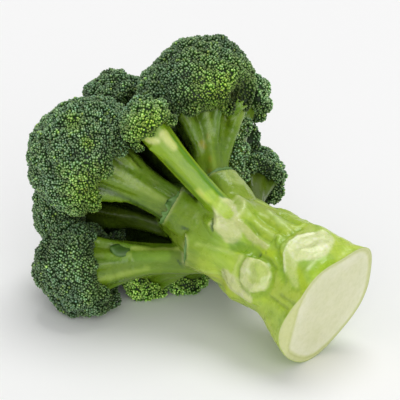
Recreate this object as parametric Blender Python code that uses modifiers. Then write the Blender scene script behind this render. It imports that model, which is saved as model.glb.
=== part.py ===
# A head of broccoli, cut from the plant and lying on its side.
# It rests on the rim of its cut stalk and on the florets that reach the floor.
# The plant is modelled upright, in millimetres, from the middle of the cut: +Z runs up the stalk
# to the crown. An empty then leans it over and sets it down, in metres, with +X towards the cut.

import math

import bmesh
import bpy
import numpy as np
from mathutils import Matrix, Vector

MM = 0.001
GOLDEN_ANGLE = math.pi * (3 - math.sqrt(5))

# How the plant lies. Angles are in degrees and lengths in millimetres.
LEAN = 14.5  # the stalk's axis climbs this much from the cut to the crown
ROLL = 39.4  # turn about the stalk's axis
FLOOR_DROP = 26.0  # from the middle of the cut down to the floor
BOX_CENTRE_X = -78.36  # middle of the resting plant's box, from the middle of the cut
BOX_CENTRE_Y = 1.43

# The stalk: height, half width along X, half width along Y, and the section's shift along X and Y.
TRUNK_RINGS = (
    (-8, 30.8, 26.2, 0.5, 0),
    (0, 29.5, 25.2, 0.5, 0),
    (9, 27.0, 23.4, 1.2, 0),
    (24, 24.4, 21.4, 2.2, 0),
    (42, 21.8, 19.8, 1.8, 0),
    (58, 20.6, 19.4, 1.0, 0),
    (74, 18.2, 18.2, 0, 0),
    (90, 14.0, 14.0, 0, 0),
    (102, 7.0, 7.0, 0, 0),
)
TRUNK_SIDES = 36
TRUNK_RIBS = 5
RIB_DEPTH = 0.7
RIB_TWIST = 0.9  # degrees for each millimetre up the stalk
CUT_TILT = -6.0  # how far the cut turns away from square, towards -Y, in degrees
CUT_RISE = 2.5  # height of the cut's plane on the stalk's axis

# A floret sits on a branch of its own, and faces away from the stalk's axis where the branch leaves.
# Each row has its name, the azimuth, reach and height of its middle, its radius, the radius of its
# branch, the height where that leaves, the azimuth and reach of the branch's root, how wide the
# branch flares and how far down the dome comes, both as a share of the floret's radius.
FLORETS = (
    ("floret_upper", -8.5, 43.8, 110.6, 28.0, 7.4, 66, -60, 8, 0.44, 0.36),
    ("floret_small_front", -64, 46.5, 104, 11.5, 4.9, 44, -64, 10, 0.58, 0.36),
    ("floret_front", -103, 28.4, 128, 26.8, 8.0, 70, -101, 10, 0.52, 0.43),
    ("floret_low_front", -172, 49.6, 110.2, 21.8, 6.8, 56, -172, 10, 0.56, 0.47),
    ("floret_low_stalkward", 152, 40, 96, 13.0, 4.6, 56, 152, 10, 0.5, 0.36),
    ("floret_low_middle", 126, 40, 89, 12.5, 4.4, 50, 126, 10, 0.5, 0.36),
    ("floret_low_back", 94, 46, 103, 23.0, 6.6, 54, 94, 10, 0.55, 0.36),
    ("floret_back", 52, 46.8, 88.5, 14.4, 4.8, 50, 52, 10, 0.5, 0.36),
    ("floret_back_middle", 29, 44, 101.5, 12.5, 4.4, 62, 27, 8, 0.45, 0.40),
    ("floret_upper_back", 15.5, 57, 106.3, 14.2, 4.6, 66, 14, 10, 0.42, 0.36),
    ("floret_back_inner", 46, 39, 117, 22.0, 6.2, 64, 46, 10, 0.5, 0.36),
    ("floret_low_end", 136, 36, 119, 21.0, 5.6, 66, 136, 10, 0.42, 0.36),
    ("floret_end_low", -176, 28.5, 133.5, 21.5, 5.0, 72, -176, 8, 0.38, 0.36),
    ("floret_end_middle", 62, 14, 139, 24.5, 6.4, 76, 62, 8, 0.45, 0.36),
    ("floret_end_upper", -22, 21.5, 145, 16.0, 5.2, 76, -22, 8, 0.5, 0.36),
)
BRANCH_RIBS = 5
BRANCH_SIDES = 20
TIP_OVERRUN = 3.0  # a branch is drawn this far into its floret, and then cut back

# Each floret is a ring of smaller domes, and its skin is drawn up into a peak for each bunch of buds.
LOBE_OFFSET = 0.52  # of the floret's radius
LOBE_RADIUS = 0.50
LOBE_SPACING = 12.5
PEAK_SPACING = 5.2
PEAK_HEIGHT = 0.75
VALLEY_DEPTH = 0.75
BURIED_SHARE = 4  # one point in this many is kept where a floret is pressed flat
EDGE_SHARPNESS = 14.0  # higher leaves a sharper edge round the flat parts
GAP = 0.3  # between one floret and the next, and between a floret and the stalk

# The foot of a cut leaf stalk: azimuth, height of its lip, half width, how far it stands out, and
# the angle from the stalk's axis to the way that its scar faces.
LEAF_FEET = (
    (-50, 20, 15.0, 5.2, 72),
    (-118, 34, 11.0, 5.8, 74),
    (-69, 58, 12.0, 5.2, 70),
    (-140, 68, 10.0, 5.8, 50),
    (-99, 84, 10.5, 8.0, 36),
    (-16, 80, 10.0, 11.0, 34),
    (28, 46, 10.5, 4.4, 60),
    (84, 27, 12.0, 4.6, 66),
    (152, 49, 10.5, 3.6, 60),
    (62, 70, 9.5, 5.8, 44),
)
FOOT_LENGTH = 22.0
FOOT_THICKNESS = 8.0
FOOT_LEAN = 16.0  # degrees out from the stalk

STALK_VOXEL = 1.35
STALK_SMOOTHING = 3
STALK_TRIANGLES = 5200

STALK_GREEN = (0.42, 0.60, 0.12, 1)
BUD_GREEN = (0.045, 0.12, 0.035, 1)


def clear_scene():
    for obj in list(bpy.data.objects):
        bpy.data.objects.remove(obj)


def collection(name, hidden=False):
    made = bpy.data.collections.new(name)
    bpy.context.scene.collection.children.link(made)
    made.hide_render = hidden
    return made


def material(name, colour, roughness):
    made = bpy.data.materials.new(name)
    made.use_nodes = True
    shader = made.node_tree.nodes["Principled BSDF"]
    shader.inputs["Base Color"].default_value = colour
    shader.inputs["Roughness"].default_value = roughness
    shader.inputs["Metallic"].default_value = 0
    return made


def add_object(name, mesh, where, parent=None, finish=None):
    obj = bpy.data.objects.new(name, mesh)
    where.objects.link(obj)
    obj.parent = parent
    if finish:
        mesh.materials.append(finish)
    return obj


def polar(azimuth, reach, height):
    turn = math.radians(azimuth)
    return Vector((reach * math.cos(turn), reach * math.sin(turn), height))


def aim(direction):
    """The turn that takes +Z to a direction."""
    return Vector(direction).to_track_quat("Z", "Y").to_matrix()


def floor_in_plant():
    """The floor's upward normal, in the upright plant's frame."""
    return (lying_turn().inverted() @ Vector((0, 0, 1))).normalized()


def lying_turn():
    """Turns the upright plant to how it lies, with its crown towards -X."""
    roll = Matrix.Rotation(math.radians(ROLL), 3, "Z")
    lean = Matrix.Rotation(math.radians(LEAN - 90), 3, "Y")
    return lean @ roll


class Floret:
    """Where one floret and its branch are, in the upright plant's frame."""

    def __init__(self, row):
        self.name, azimuth, reach, height, self.radius, self.stem, leave = row[:7]
        root_azimuth, root_reach, self.flare, self.drop = row[7:]
        self.middle = polar(azimuth, reach, height)
        self.axis = (self.middle - Vector((0, 0, leave))).normalized()
        self.base = self.middle - self.axis * self.drop * self.radius
        self.root = polar(root_azimuth, root_reach, leave)
        self.path = self.branch_path()

    def branch_path(self, steps=7):
        """Points up the middle of the branch, which leaves the stalk steeply and bends outwards."""
        tip = self.base + self.axis * TIP_OVERRUN
        bend = self.base - self.axis * 0.45 * (self.base - self.root).length
        points = []
        for i in range(steps + 1):
            t = i / steps
            points.append(self.root * (1 - t) ** 2 + bend * 2 * t * (1 - t) + tip * t**2)
        return points

    def stem_radius(self, t):
        """The branch's radius, from 0 at the stalk to 1 at its tip, where it flares."""
        flare = max(0.0, (t - 0.45) / 0.55) ** 1.6
        return self.stem + (self.flare * self.radius - self.stem) * flare


def fibonacci(count):
    """Directions spread evenly over a sphere, spiralling down from +Z."""
    i = np.arange(count)
    z = 1 - (2 * i + 1) / count
    ring = np.sqrt(1 - z * z)
    turn = i * GOLDEN_ANGLE
    return np.stack([ring * np.cos(turn), ring * np.sin(turn), z], axis=1)


def lobes_of(floret, seed):
    """The smaller domes that a floret is made of: their middles and radii."""
    draw = np.random.default_rng(seed)
    count = max(8, round(4 * math.pi * floret.radius**2 / (0.866 * LOBE_SPACING**2)))
    around = fibonacci(count) + draw.normal(0, 0.10, (count, 3))
    around /= np.linalg.norm(around, axis=1)[:, None]
    swell = draw.uniform(0.94, 1.05, count)
    middles = around * (LOBE_OFFSET * floret.radius * swell)[:, None]
    radii = LOBE_RADIUS * floret.radius * draw.uniform(0.96, 1.06, count)
    return middles @ np.array(aim(floret.axis)).T, radii


def dome_reach(directions, middles, radii):
    """How far the lobes reach from the floret's middle along each direction."""
    along = directions @ middles.T
    under = radii**2 - (middles**2).sum(axis=1) + along**2
    reach = np.where(under > 0, along + np.sqrt(np.maximum(under, 0)), 0)
    return reach.max(axis=1)


def limits_of(floret, florets):
    """Planes that a floret stays behind, as a unit normal and a distance from its middle."""
    planes = [(-floret.axis, floret.drop * floret.radius)]
    for other in florets:
        if other is floret:
            continue
        away = other.middle - floret.middle
        apart = away.length
        if apart < floret.radius + other.radius + 4 * PEAK_HEIGHT:
            share = (apart**2 + floret.radius**2 - other.radius**2) / (2 * apart)
            planes.append((away / apart, share - GAP / 2))
        planes += stem_limits(floret, other)
    return planes


def stem_limits(floret, other):
    """Planes that keep a floret off another floret's branch."""
    planes = []
    steps = len(other.path) - 1
    for i in range(steps):
        start, end = other.path[i], other.path[i + 1]
        run = end - start
        t = min(1.0, max(0.0, (floret.middle - start).dot(run) / run.length_squared))
        near = start + run * t
        away = near - floret.middle
        thick = other.stem_radius((i + t) / steps) * 1.1 + 2.5 * GAP
        if away.length - thick < floret.radius + PEAK_HEIGHT:
            planes.append((away.normalized(), away.length - thick))
    return planes


def floor_limit(floret):
    floor = floor_in_plant()
    return [(-floor, floret.middle.dot(floor) + FLOOR_DROP)]


def limit_reach(directions, planes):
    reach = np.full(len(directions), 1e9)
    for normal, distance in planes:
        facing = directions @ np.array(normal)
        met = np.where(facing > 1e-6, distance / np.maximum(facing, 1e-6), 1e9)
        reach = np.minimum(reach, met)
    return reach


def hull_faces(directions):
    """The triangles that join points on a unit sphere, as rows of three indices."""
    work = bmesh.new()
    verts = [work.verts.new(d) for d in directions]
    work.verts.index_update()
    bmesh.ops.convex_hull(work, input=verts)
    faces = [[v.index for v in face.verts] for face in work.faces]
    work.free()
    return np.array(faces)


def floret_mesh(floret, florets, seed):
    """A floret's skin: a peak for each bunch of buds, and valleys between them."""
    middles, radii = lobes_of(floret, seed)
    planes = limits_of(floret, florets)
    count = round(4 * math.pi * floret.radius**2 / (0.866 * PEAK_SPACING**2))
    around = fibonacci(count) @ np.array(aim(floret.axis)).T
    free = limit_reach(around, planes) > 0.97 * dome_reach(around, middles, radii)
    peaks = around[free]
    buried = around[~free][::BURIED_SHARE]
    points = np.concatenate([peaks, buried])
    faces = hull_faces(points)
    open_faces = faces[(faces < len(peaks)).all(axis=1)]
    valleys = points[open_faces].mean(axis=1)
    valleys /= np.linalg.norm(valleys, axis=1)[:, None]
    points = np.concatenate([points, valleys])
    lift = np.concatenate([
        np.full(len(peaks), PEAK_HEIGHT),
        np.zeros(len(buried)),
        np.full(len(valleys), -VALLEY_DEPTH),
    ])
    dome, limit = dome_reach(points, middles, radii) + lift, limit_reach(points, planes)
    reach = (dome**-EDGE_SHARPNESS + limit**-EDGE_SHARPNESS) ** (-1 / EDGE_SHARPNESS)
    reach = np.minimum(reach, limit_reach(points, floor_limit(floret)))
    mesh = bpy.data.meshes.new(floret.name)
    mesh.from_pydata((points * reach[:, None] * MM).tolist(), [], hull_faces(points).tolist())
    mesh.validate()
    return mesh


def ribbed_outline(name, ribs, depth, sides, where):
    """A closed outline of radius 1, with ribs round it."""
    data = bpy.data.curves.new(name, "CURVE")
    spline = data.splines.new("POLY")
    spline.points.add(sides - 1)
    for i, point in enumerate(spline.points):
        turn = 2 * math.pi * i / sides
        radius = 1 + depth * math.cos(ribs * turn)
        point.co = (radius * math.cos(turn), radius * math.sin(turn), 0, 1)
    spline.use_cyclic_u = True
    return add_object(name, data, where)


def branch_mesh(floret, outline, where):
    """A floret's branch: a ribbed tube that thickens and flares to its tip."""
    data = bpy.data.curves.new(floret.name + "_branch", "CURVE")
    data.dimensions = "3D"
    data.bevel_mode = "OBJECT"
    data.bevel_object = outline
    data.use_fill_caps = True
    spline = data.splines.new("POLY")
    spline.points.add(len(floret.path) - 1)
    for i, (point, place) in enumerate(zip(spline.points, floret.path)):
        point.co = (*place, 1)
        point.radius = floret.stem_radius(i / (len(floret.path) - 1))
    tube = add_object(data.name, data, where)
    bpy.context.view_layer.update()
    graph = bpy.context.evaluated_depsgraph_get()
    mesh = bpy.data.meshes.new_from_object(tube.evaluated_get(graph))
    bpy.data.objects.remove(tube)
    return mesh


def trunk_section(height):
    """The stalk's half widths and shift at a height, read smoothly between the rings."""
    rings = np.array(TRUNK_RINGS, float)
    i = int(np.clip(np.searchsorted(rings[:, 0], height) - 1, 0, len(rings) - 2))
    t = (height - rings[i, 0]) / (rings[i + 1, 0] - rings[i, 0])
    before, after = rings[max(i - 1, 0), 1:], rings[min(i + 2, len(rings) - 1), 1:]
    a, b = rings[i, 1:], rings[i + 1, 1:]
    slope_a, slope_b = (b - before) / 2, (after - a) / 2
    t2, t3 = t * t, t**3
    return (
        (2 * t3 - 3 * t2 + 1) * a + (t3 - 2 * t2 + t) * slope_a
        + (3 * t2 - 2 * t3) * b + (t3 - t2) * slope_b
    )


def trunk_mesh(step=3.5):
    """The main stem, lofted through its sections, with low ribs that wind up it."""
    low, high = TRUNK_RINGS[0][0], TRUNK_RINGS[-1][0]
    levels = round((high - low) / step)
    work = bmesh.new()
    bmesh.ops.create_cone(
        work, cap_ends=True, segments=TRUNK_SIDES, radius1=1, radius2=1, depth=1
    )
    sides = [edge for edge in work.edges if abs(edge.verts[0].co.z - edge.verts[1].co.z) > 0.5]
    bmesh.ops.subdivide_edges(work, edges=sides, cuts=levels - 1, use_grid_fill=False)
    for vert in work.verts:
        height = low + (high - low) * (vert.co.z + 0.5)
        half_x, half_y, shift_x, shift_y = trunk_section(height)
        turn = math.atan2(vert.co.y, vert.co.x)
        rib = RIB_DEPTH * math.cos(TRUNK_RIBS * (turn + math.radians(RIB_TWIST * height)))
        vert.co = Vector((
            (half_x + rib) * math.cos(turn) + shift_x,
            (half_y + rib) * math.sin(turn) + shift_y,
            height,
        ))
    mesh = bpy.data.meshes.new("trunk")
    work.to_mesh(mesh)
    work.free()
    return mesh


def foot_frame(azimuth, lip_height):
    """Outwards, sideways and up, and where the lip of a leaf's foot meets the stalk."""
    half_x, half_y, shift_x, shift_y = trunk_section(lip_height)
    turn = math.radians(azimuth)
    out = Vector((math.cos(turn), math.sin(turn), 0))
    side = Vector((-math.sin(turn), math.cos(turn), 0))
    skin = Vector((half_x * out.x + shift_x, half_y * out.y + shift_y, lip_height))
    return out, side, Vector((0, 0, 1)), skin


def foot_mesh(row):
    """The foot of a leaf stalk: a long swelling that rises from the stem to a lip, cut off flat."""
    azimuth, lip_height, half_width, proud, facing = row
    out, side, up, skin = foot_frame(azimuth, lip_height)
    lean = math.radians(FOOT_LEAN)
    along = up * math.cos(lean) + out * math.sin(lean)
    away = out * math.cos(lean) - up * math.sin(lean)
    middle = skin + out * (proud - FOOT_THICKNESS) - along * FOOT_LENGTH * 0.35
    work = bmesh.new()
    bmesh.ops.create_uvsphere(work, u_segments=16, v_segments=10, radius=1)
    for vert in work.verts:
        x, y, z = vert.co
        vert.co = middle + away * x * FOOT_THICKNESS + side * y * half_width + along * z * FOOT_LENGTH
    facing = math.radians(facing)
    bmesh.ops.bisect_plane(
        work,
        geom=[*work.verts, *work.edges, *work.faces],
        plane_co=skin + out * proud * 0.3,
        plane_no=up * math.cos(facing) + out * math.sin(facing),
        clear_outer=True,
    )
    bmesh.ops.holes_fill(work, edges=work.edges)
    mesh = bpy.data.meshes.new("leaf_foot")
    work.to_mesh(mesh)
    work.free()
    return mesh


def slab(name, where, parent, place, normal, half_width, thickness):
    """A cutter: a round slab that starts at a place and runs along a normal."""
    work = bmesh.new()
    bmesh.ops.create_cone(
        work, cap_ends=True, segments=24, radius1=half_width, radius2=half_width, depth=thickness
    )
    bmesh.ops.translate(work, verts=work.verts, vec=(0, 0, thickness / 2))
    work.transform(Matrix.Translation(place) @ aim(normal).to_4x4())
    bmesh.ops.scale(work, verts=work.verts, vec=(MM, MM, MM))
    mesh = bpy.data.meshes.new(name)
    work.to_mesh(mesh)
    work.free()
    cutter = add_object(name, mesh, where, parent)
    cutter.hide_render = True
    cutter.display_type = "WIRE"
    return cutter


def add_cutters(florets, where, parent):
    """The knife's plane at the cut, the beds of the florets, and the floor."""
    tilt = math.radians(CUT_TILT)
    knife = Vector((0, math.sin(tilt), -math.cos(tilt)))
    slab("cut_knife", where, parent, Vector((0, 0, CUT_RISE)), knife, 60, 30)
    slab("cut_floor", where, parent, -floor_in_plant() * FLOOR_DROP, -floor_in_plant(), 400, 30)
    for floret in florets:
        width = floret.flare * floret.radius * 1.09 + 1
        place = floret.base - floret.axis * GAP
        slab("cut_" + floret.name, where, parent, place, floret.axis, width, TIP_OVERRUN * 1.5)


def joined(meshes, name):
    """Several closed meshes, in millimetres, put into one mesh, in metres."""
    work = bmesh.new()
    for mesh in meshes:
        work.from_mesh(mesh)
        bpy.data.meshes.remove(mesh)
    bmesh.ops.remove_doubles(work, verts=work.verts, dist=0.001)
    bmesh.ops.recalc_face_normals(work, faces=work.faces)
    bmesh.ops.scale(work, verts=work.verts, vec=(MM, MM, MM))
    made = bpy.data.meshes.new(name)
    work.to_mesh(made)
    work.free()
    return made


def evaluated_triangles(obj):
    bpy.context.view_layer.update()
    graph = bpy.context.evaluated_depsgraph_get()
    mesh = obj.evaluated_get(graph).to_mesh()
    mesh.calc_loop_triangles()
    return len(mesh.loop_triangles)


def add_stalk(florets, parts, cutters, parent, finish):
    """The stem, its branches and the feet of its leaves, grown together as one body."""
    outline = ribbed_outline("branch_outline", BRANCH_RIBS, 0.07, BRANCH_SIDES, cutters)
    shapes = [trunk_mesh()]
    shapes += [foot_mesh(row) for row in LEAF_FEET]
    shapes += [branch_mesh(floret, outline, cutters) for floret in florets]
    bpy.data.objects.remove(outline)
    stalk = add_object("stalk", joined(shapes, "stalk"), parts, parent, finish)
    grow = stalk.modifiers.new("grow_together", "REMESH")
    grow.mode = "VOXEL"
    grow.voxel_size = STALK_VOXEL * MM
    soften = stalk.modifiers.new("soften", "SMOOTH")
    soften.iterations = STALK_SMOOTHING
    found = evaluated_triangles(stalk)
    thin = stalk.modifiers.new("fewer_triangles", "DECIMATE")
    thin.ratio = STALK_TRIANGLES / found
    trim = stalk.modifiers.new("trim", "BOOLEAN")
    trim.operation = "DIFFERENCE"
    trim.operand_type = "COLLECTION"
    trim.collection = cutters
    return stalk


def main():
    clear_scene()
    parts = collection("broccoli_head")
    cutters = collection("cutters", hidden=True)
    plant = add_object("plant", None, parts)
    plant.matrix_world = Matrix.LocRotScale(
        Vector((-BOX_CENTRE_X, -BOX_CENTRE_Y, FLOOR_DROP)) * MM, lying_turn(), None
    )
    stalk_finish = material("stalk_green", STALK_GREEN, 0.42)
    bud_finish = material("bud_green", BUD_GREEN, 0.6)
    florets = [Floret(row) for row in FLORETS]
    for seed, floret in enumerate(florets):
        obj = add_object(floret.name, floret_mesh(floret, florets, seed), parts, plant, bud_finish)
        obj.location = floret.middle * MM
    add_cutters(florets, cutters, plant)
    add_stalk(florets, parts, cutters, plant, stalk_finish)


main()
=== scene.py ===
import math

import bmesh
import bpy
import numpy as np
from mathutils import Matrix, Vector
from mathutils.bvhtree import BVHTree


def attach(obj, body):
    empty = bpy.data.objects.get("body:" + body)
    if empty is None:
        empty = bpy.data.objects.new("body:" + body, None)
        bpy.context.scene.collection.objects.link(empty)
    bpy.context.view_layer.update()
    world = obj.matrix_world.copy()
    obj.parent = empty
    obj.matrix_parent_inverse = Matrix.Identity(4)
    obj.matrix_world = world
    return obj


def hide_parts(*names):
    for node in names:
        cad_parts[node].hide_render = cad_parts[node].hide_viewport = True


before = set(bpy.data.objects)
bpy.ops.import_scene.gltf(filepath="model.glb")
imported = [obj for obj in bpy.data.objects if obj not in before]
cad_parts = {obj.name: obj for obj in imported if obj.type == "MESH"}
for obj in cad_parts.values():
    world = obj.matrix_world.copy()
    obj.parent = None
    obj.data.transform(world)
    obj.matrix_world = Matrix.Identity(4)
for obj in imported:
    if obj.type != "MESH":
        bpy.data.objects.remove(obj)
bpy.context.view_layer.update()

mm = 0.001
goldenAngle = math.pi * (3 - math.sqrt(5))
lowestPoint = 0.00005  # nothing comes nearer to the floor, in metres

# The head is drawn upright, in millimetres, from the middle of its cut, and then laid on its side.
headPose = {
    "lean": 14.5,  # the stalk climbs this many degrees from the cut to the crown
    "roll": 39.4,
    "floorDrop": 26.0,
    "boxCentre": (-78.36, 1.43),
}


def polar(azimuth, reach, height):
    turn = math.radians(azimuth)
    return Vector((reach * math.cos(turn), reach * math.sin(turn), height))


def aimTurn(direction):
    return np.array(Vector(direction).to_track_quat("Z", "Y").to_matrix())


def lyingTurn():
    roll = Matrix.Rotation(math.radians(headPose["roll"]), 3, "Z")
    return Matrix.Rotation(math.radians(headPose["lean"] - 90), 3, "Y") @ roll


layDown = np.array(lyingTurn())
cutMiddle = np.array([-headPose["boxCentre"][0], -headPose["boxCentre"][1], headPose["floorDrop"]])
floorNormal = layDown.T @ np.array([0.0, 0.0, 1.0])


def toWorld(points):  # upright millimetres to the lying head's metres
    return (np.asarray(points) @ layDown.T + cutMiddle) * mm


def aboveFloor(points):
    world = toWorld(points)
    world[:, 2] = np.maximum(world[:, 2], lowestPoint)
    return world


def unit(rows):
    return rows / np.maximum(np.linalg.norm(rows, axis=-1, keepdims=True), 1e-9)


def linear(r, g, b):  # a colour as seen on a screen, 0 to 255, to the renderer's own values
    seen = np.array([r, g, b]) / 255
    return np.where(seen < 0.04045, seen / 12.92, ((seen + 0.055) / 1.055) ** 2.4)


def blendRows(first, second, share):  # two colours, mixed by a share for each point
    return first * (1 - share[:, None]) + second * share[:, None]


def evenDirections(count):
    i = np.arange(count)
    z = 1 - (2 * i + 1) / count
    ring = np.sqrt(1 - z * z)
    return np.stack([ring * np.cos(i * goldenAngle), ring * np.sin(i * goldenAngle), z], axis=1)


def scatter(count, wander, draw):
    return unit(evenDirections(count) + draw.normal(0, wander, (count, 3)))


def countOver(radius, spacing):  # how many points cover a ball at this spacing
    return round(4 * math.pi * radius**2 / (0.866 * spacing**2))


def smoothNoise(points, scale, seed):
    draw = np.random.default_rng(seed)
    total = np.zeros(len(points))
    for octave in range(3):
        for wave in range(5):
            direction = unit(draw.normal(size=3)) * scale * 2**octave
            total += np.sin(points @ direction + draw.uniform(0, 6.28)) / (2**octave)
    return total / 5


def bowed(start, bend, end, t):
    return start * (1 - t) ** 2 + bend * 2 * t * (1 - t) + end * t**2


def quickMesh(name, points, loops, sizes, colours):
    mesh = bpy.data.meshes.new(name)
    mesh.vertices.add(len(points))
    mesh.vertices.foreach_set("co", np.asarray(points, np.float32).ravel())
    mesh.loops.add(len(loops))
    mesh.loops.foreach_set("vertex_index", np.asarray(loops, np.int32))
    mesh.polygons.add(len(sizes))
    mesh.polygons.foreach_set("loop_start", np.concatenate([[0], np.cumsum(sizes)[:-1]]).astype(np.int32))
    mesh.polygons.foreach_set("use_smooth", np.ones(len(sizes), bool))
    mesh.update(calc_edges=True)
    mesh.validate()
    paint(mesh, colours)
    return mesh


def paint(mesh, colours):
    layer = mesh.attributes.new("tint", "FLOAT_COLOR", "POINT")
    rgba = np.ones((len(mesh.vertices), 4), np.float32)
    rgba[:, :3] = colours
    layer.data.foreach_set("color", rgba.ravel())


def readVertices(mesh, what):
    values = np.empty(len(mesh.vertices) * 3, np.float32)
    mesh.vertices.foreach_get(what, values)
    return values.reshape(-1, 3).astype(float)


def layMesh(mesh, points, colours):
    mesh.vertices.foreach_set("co", aboveFloor(points).astype(np.float32).ravel())
    paint(mesh, np.clip(colours, 0, 1))
    mesh.polygons.foreach_set("use_smooth", np.ones(len(mesh.polygons), bool))
    mesh.update()


def place(name, mesh, finish, slot, *nodes):
    piece = bpy.data.objects.new(name, mesh)
    bpy.context.scene.collection.objects.link(piece)
    mesh.materials.clear()
    mesh.materials.append(finish)
    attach(piece, "root")
    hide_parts(*nodes)


def newFinish(name, sockets):
    made = bpy.data.materials.new(name)
    made.use_nodes = True
    shader = made.node_tree.nodes["Principled BSDF"]
    for socket, value in sockets.items():
        shader.inputs[socket].default_value = value
    return made, made.node_tree, shader


def addNode(tree, kind, **values):
    node = tree.nodes.new(kind)
    for key, value in values.items():
        if hasattr(node, key):
            setattr(node, key, value)
        else:
            node.inputs[key].default_value = value
    return node


def tintOf(tree):
    return addNode(tree, "ShaderNodeAttribute", attribute_name="tint").outputs["Color"]


def spotOf(tree):
    return addNode(tree, "ShaderNodeTexCoord").outputs["Object"]


def noiseOf(tree, vector, scale, detail=3.0, roughness=0.55):
    noise = addNode(tree, "ShaderNodeTexNoise", Scale=scale, Detail=detail, Roughness=roughness)
    tree.links.new(vector, noise.inputs["Vector"])
    return noise.outputs["Fac"]


def spread(tree, value, low, high, toLow, toHigh):
    ranged = addNode(tree, "ShaderNodeMapRange")
    for socket, amount in zip(("From Min", "From Max", "To Min", "To Max"), (low, high, toLow, toHigh)):
        ranged.inputs[socket].default_value = amount
    tree.links.new(value, ranged.inputs["Value"])
    return ranged.outputs["Result"]


def blendColours(tree, kind, factor, first, second):  # each is a value, or another node's output
    mix = addNode(tree, "ShaderNodeMix", data_type="RGBA", blend_type=kind)
    for socket, value in ((mix.inputs[0], factor), (mix.inputs[6], first), (mix.inputs[7], second)):
        if isinstance(value, (float, tuple)):
            socket.default_value = value
        else:
            tree.links.new(value, socket)
    return mix.outputs[2]


def addBump(tree, shader, height, strength, distance):
    bump = addNode(tree, "ShaderNodeBump", Strength=strength, Distance=distance)
    tree.links.new(height, bump.inputs["Height"])
    tree.links.new(bump.outputs["Normal"], shader.inputs["Normal"])


budFinish = {
    "mottleScale": 420.0,
    "mottle": 0.28,
    "sockets": {
        "Roughness": 0.52,
        "Specular IOR Level": 0.35,
        "Subsurface Weight": 0.08,
        "Subsurface Radius": (0.4, 1.0, 0.2),
        "Subsurface Scale": 0.0012,
    },
}


def makeBudFinish():
    made, tree, shader = newFinish("broccoliBuds", budFinish["sockets"])
    mottle = noiseOf(tree, spotOf(tree), budFinish["mottleScale"])
    light = spread(tree, mottle, 0.3, 0.7, 1 - budFinish["mottle"], 1 + budFinish["mottle"])
    tree.links.new(blendColours(tree, "MULTIPLY", 1.0, tintOf(tree), light), shader.inputs["Base Color"])
    return made


skinFinish = {
    "fibres": (900.0, 2.0, 0.5),  # scale, detail and roughness of the fine fibres along the stalk
    "bands": (230.0, 4.0, 0.6),  # and of the broad streaks
    "pores": (900.0, 2.0, 0.6),
    # The streaks: where one starts, where it is full, how much of it, and its tone.
    # The pale streaks are partly the stalk's own paler fibres and partly a painted sheen.
    "paleStreakAndSheen": (0.52, 0.72, 0.40, (1.45, 1.32, 2.6)),
    "deepStreak": (0.46, 0.28, 0.416, linear(150, 190, 40)),
    "fineStreak": (0.35, 0.68, 0.24, linear(205, 222, 140)),
    "gloss": (0.20, 0.38),
    "poreShare": 0.35,
    "relief": 0.00022,
    "sockets": {
        "Subsurface Weight": 0.14,
        "Subsurface Radius": (0.7, 1.0, 0.2),
        "Subsurface Scale": 0.004,
        "Specular IOR Level": 0.42,
        "Coat Weight": 0.10,
        "Coat Roughness": 0.16,
    },
}


def makeSkinFinish():
    made, tree, shader = newFinish("stalkSkin", skinFinish["sockets"])
    grain = addNode(tree, "ShaderNodeAttribute", attribute_name="grain").outputs["Vector"]
    fibres = noiseOf(tree, grain, *skinFinish["fibres"])
    bands = noiseOf(tree, grain, *skinFinish["bands"])
    pores = noiseOf(tree, spotOf(tree), *skinFinish["pores"])
    colour = tintOf(tree)
    for noise, streak in ((bands, "paleStreakAndSheen"), (bands, "deepStreak"), (fibres, "fineStreak")):
        low, high, most, tone = skinFinish[streak]
        colour = blendColours(tree, "MULTIPLY", spread(tree, noise, low, high, 0.0, most), colour, (*tone, 1))
    tree.links.new(colour, shader.inputs["Base Color"])
    tree.links.new(spread(tree, bands, 0.3, 0.7, *skinFinish["gloss"]), shader.inputs["Roughness"])
    height = addNode(tree, "ShaderNodeMath", operation="MULTIPLY_ADD")
    tree.links.new(pores, height.inputs[0])
    height.inputs[1].default_value = skinFinish["poreShare"]
    tree.links.new(fibres, height.inputs[2])
    addBump(tree, shader, height.outputs[0], 0.5, skinFinish["relief"])
    return made


cutFinish = {
    "cloudScale": 110.0,
    "cloudTone": linear(203, 208, 158),
    "grainScale": 520.0,
    "grainTone": linear(220, 224, 180),
    "gloss": (0.36, 0.5),
    "relief": 0.0002,
    "sockets": {
        "Subsurface Weight": 0.25,
        "Subsurface Radius": (1.0, 1.0, 0.4),
        "Subsurface Scale": 0.004,
    },
}


def makeCutFinish():
    made, tree, shader = newFinish("cutFlesh", cutFinish["sockets"])
    spot = spotOf(tree)
    cloud = noiseOf(tree, spot, cutFinish["cloudScale"], 2.0)
    grainy = noiseOf(tree, spot, cutFinish["grainScale"], 3.0)
    clouds = spread(tree, cloud, 0.4, 0.7, 0.0, 0.35)
    grains = spread(tree, grainy, 0.4, 0.75, 0.0, 0.3)
    colour = blendColours(tree, "MIX", clouds, tintOf(tree), (*cutFinish["cloudTone"], 1))
    colour = blendColours(tree, "MULTIPLY", grains, colour, (*cutFinish["grainTone"], 1))
    tree.links.new(colour, shader.inputs["Base Color"])
    tree.links.new(spread(tree, cloud, 0.3, 0.7, *cutFinish["gloss"]), shader.inputs["Roughness"])
    addBump(tree, shader, grainy, 0.35, cutFinish["relief"])
    return made


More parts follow.
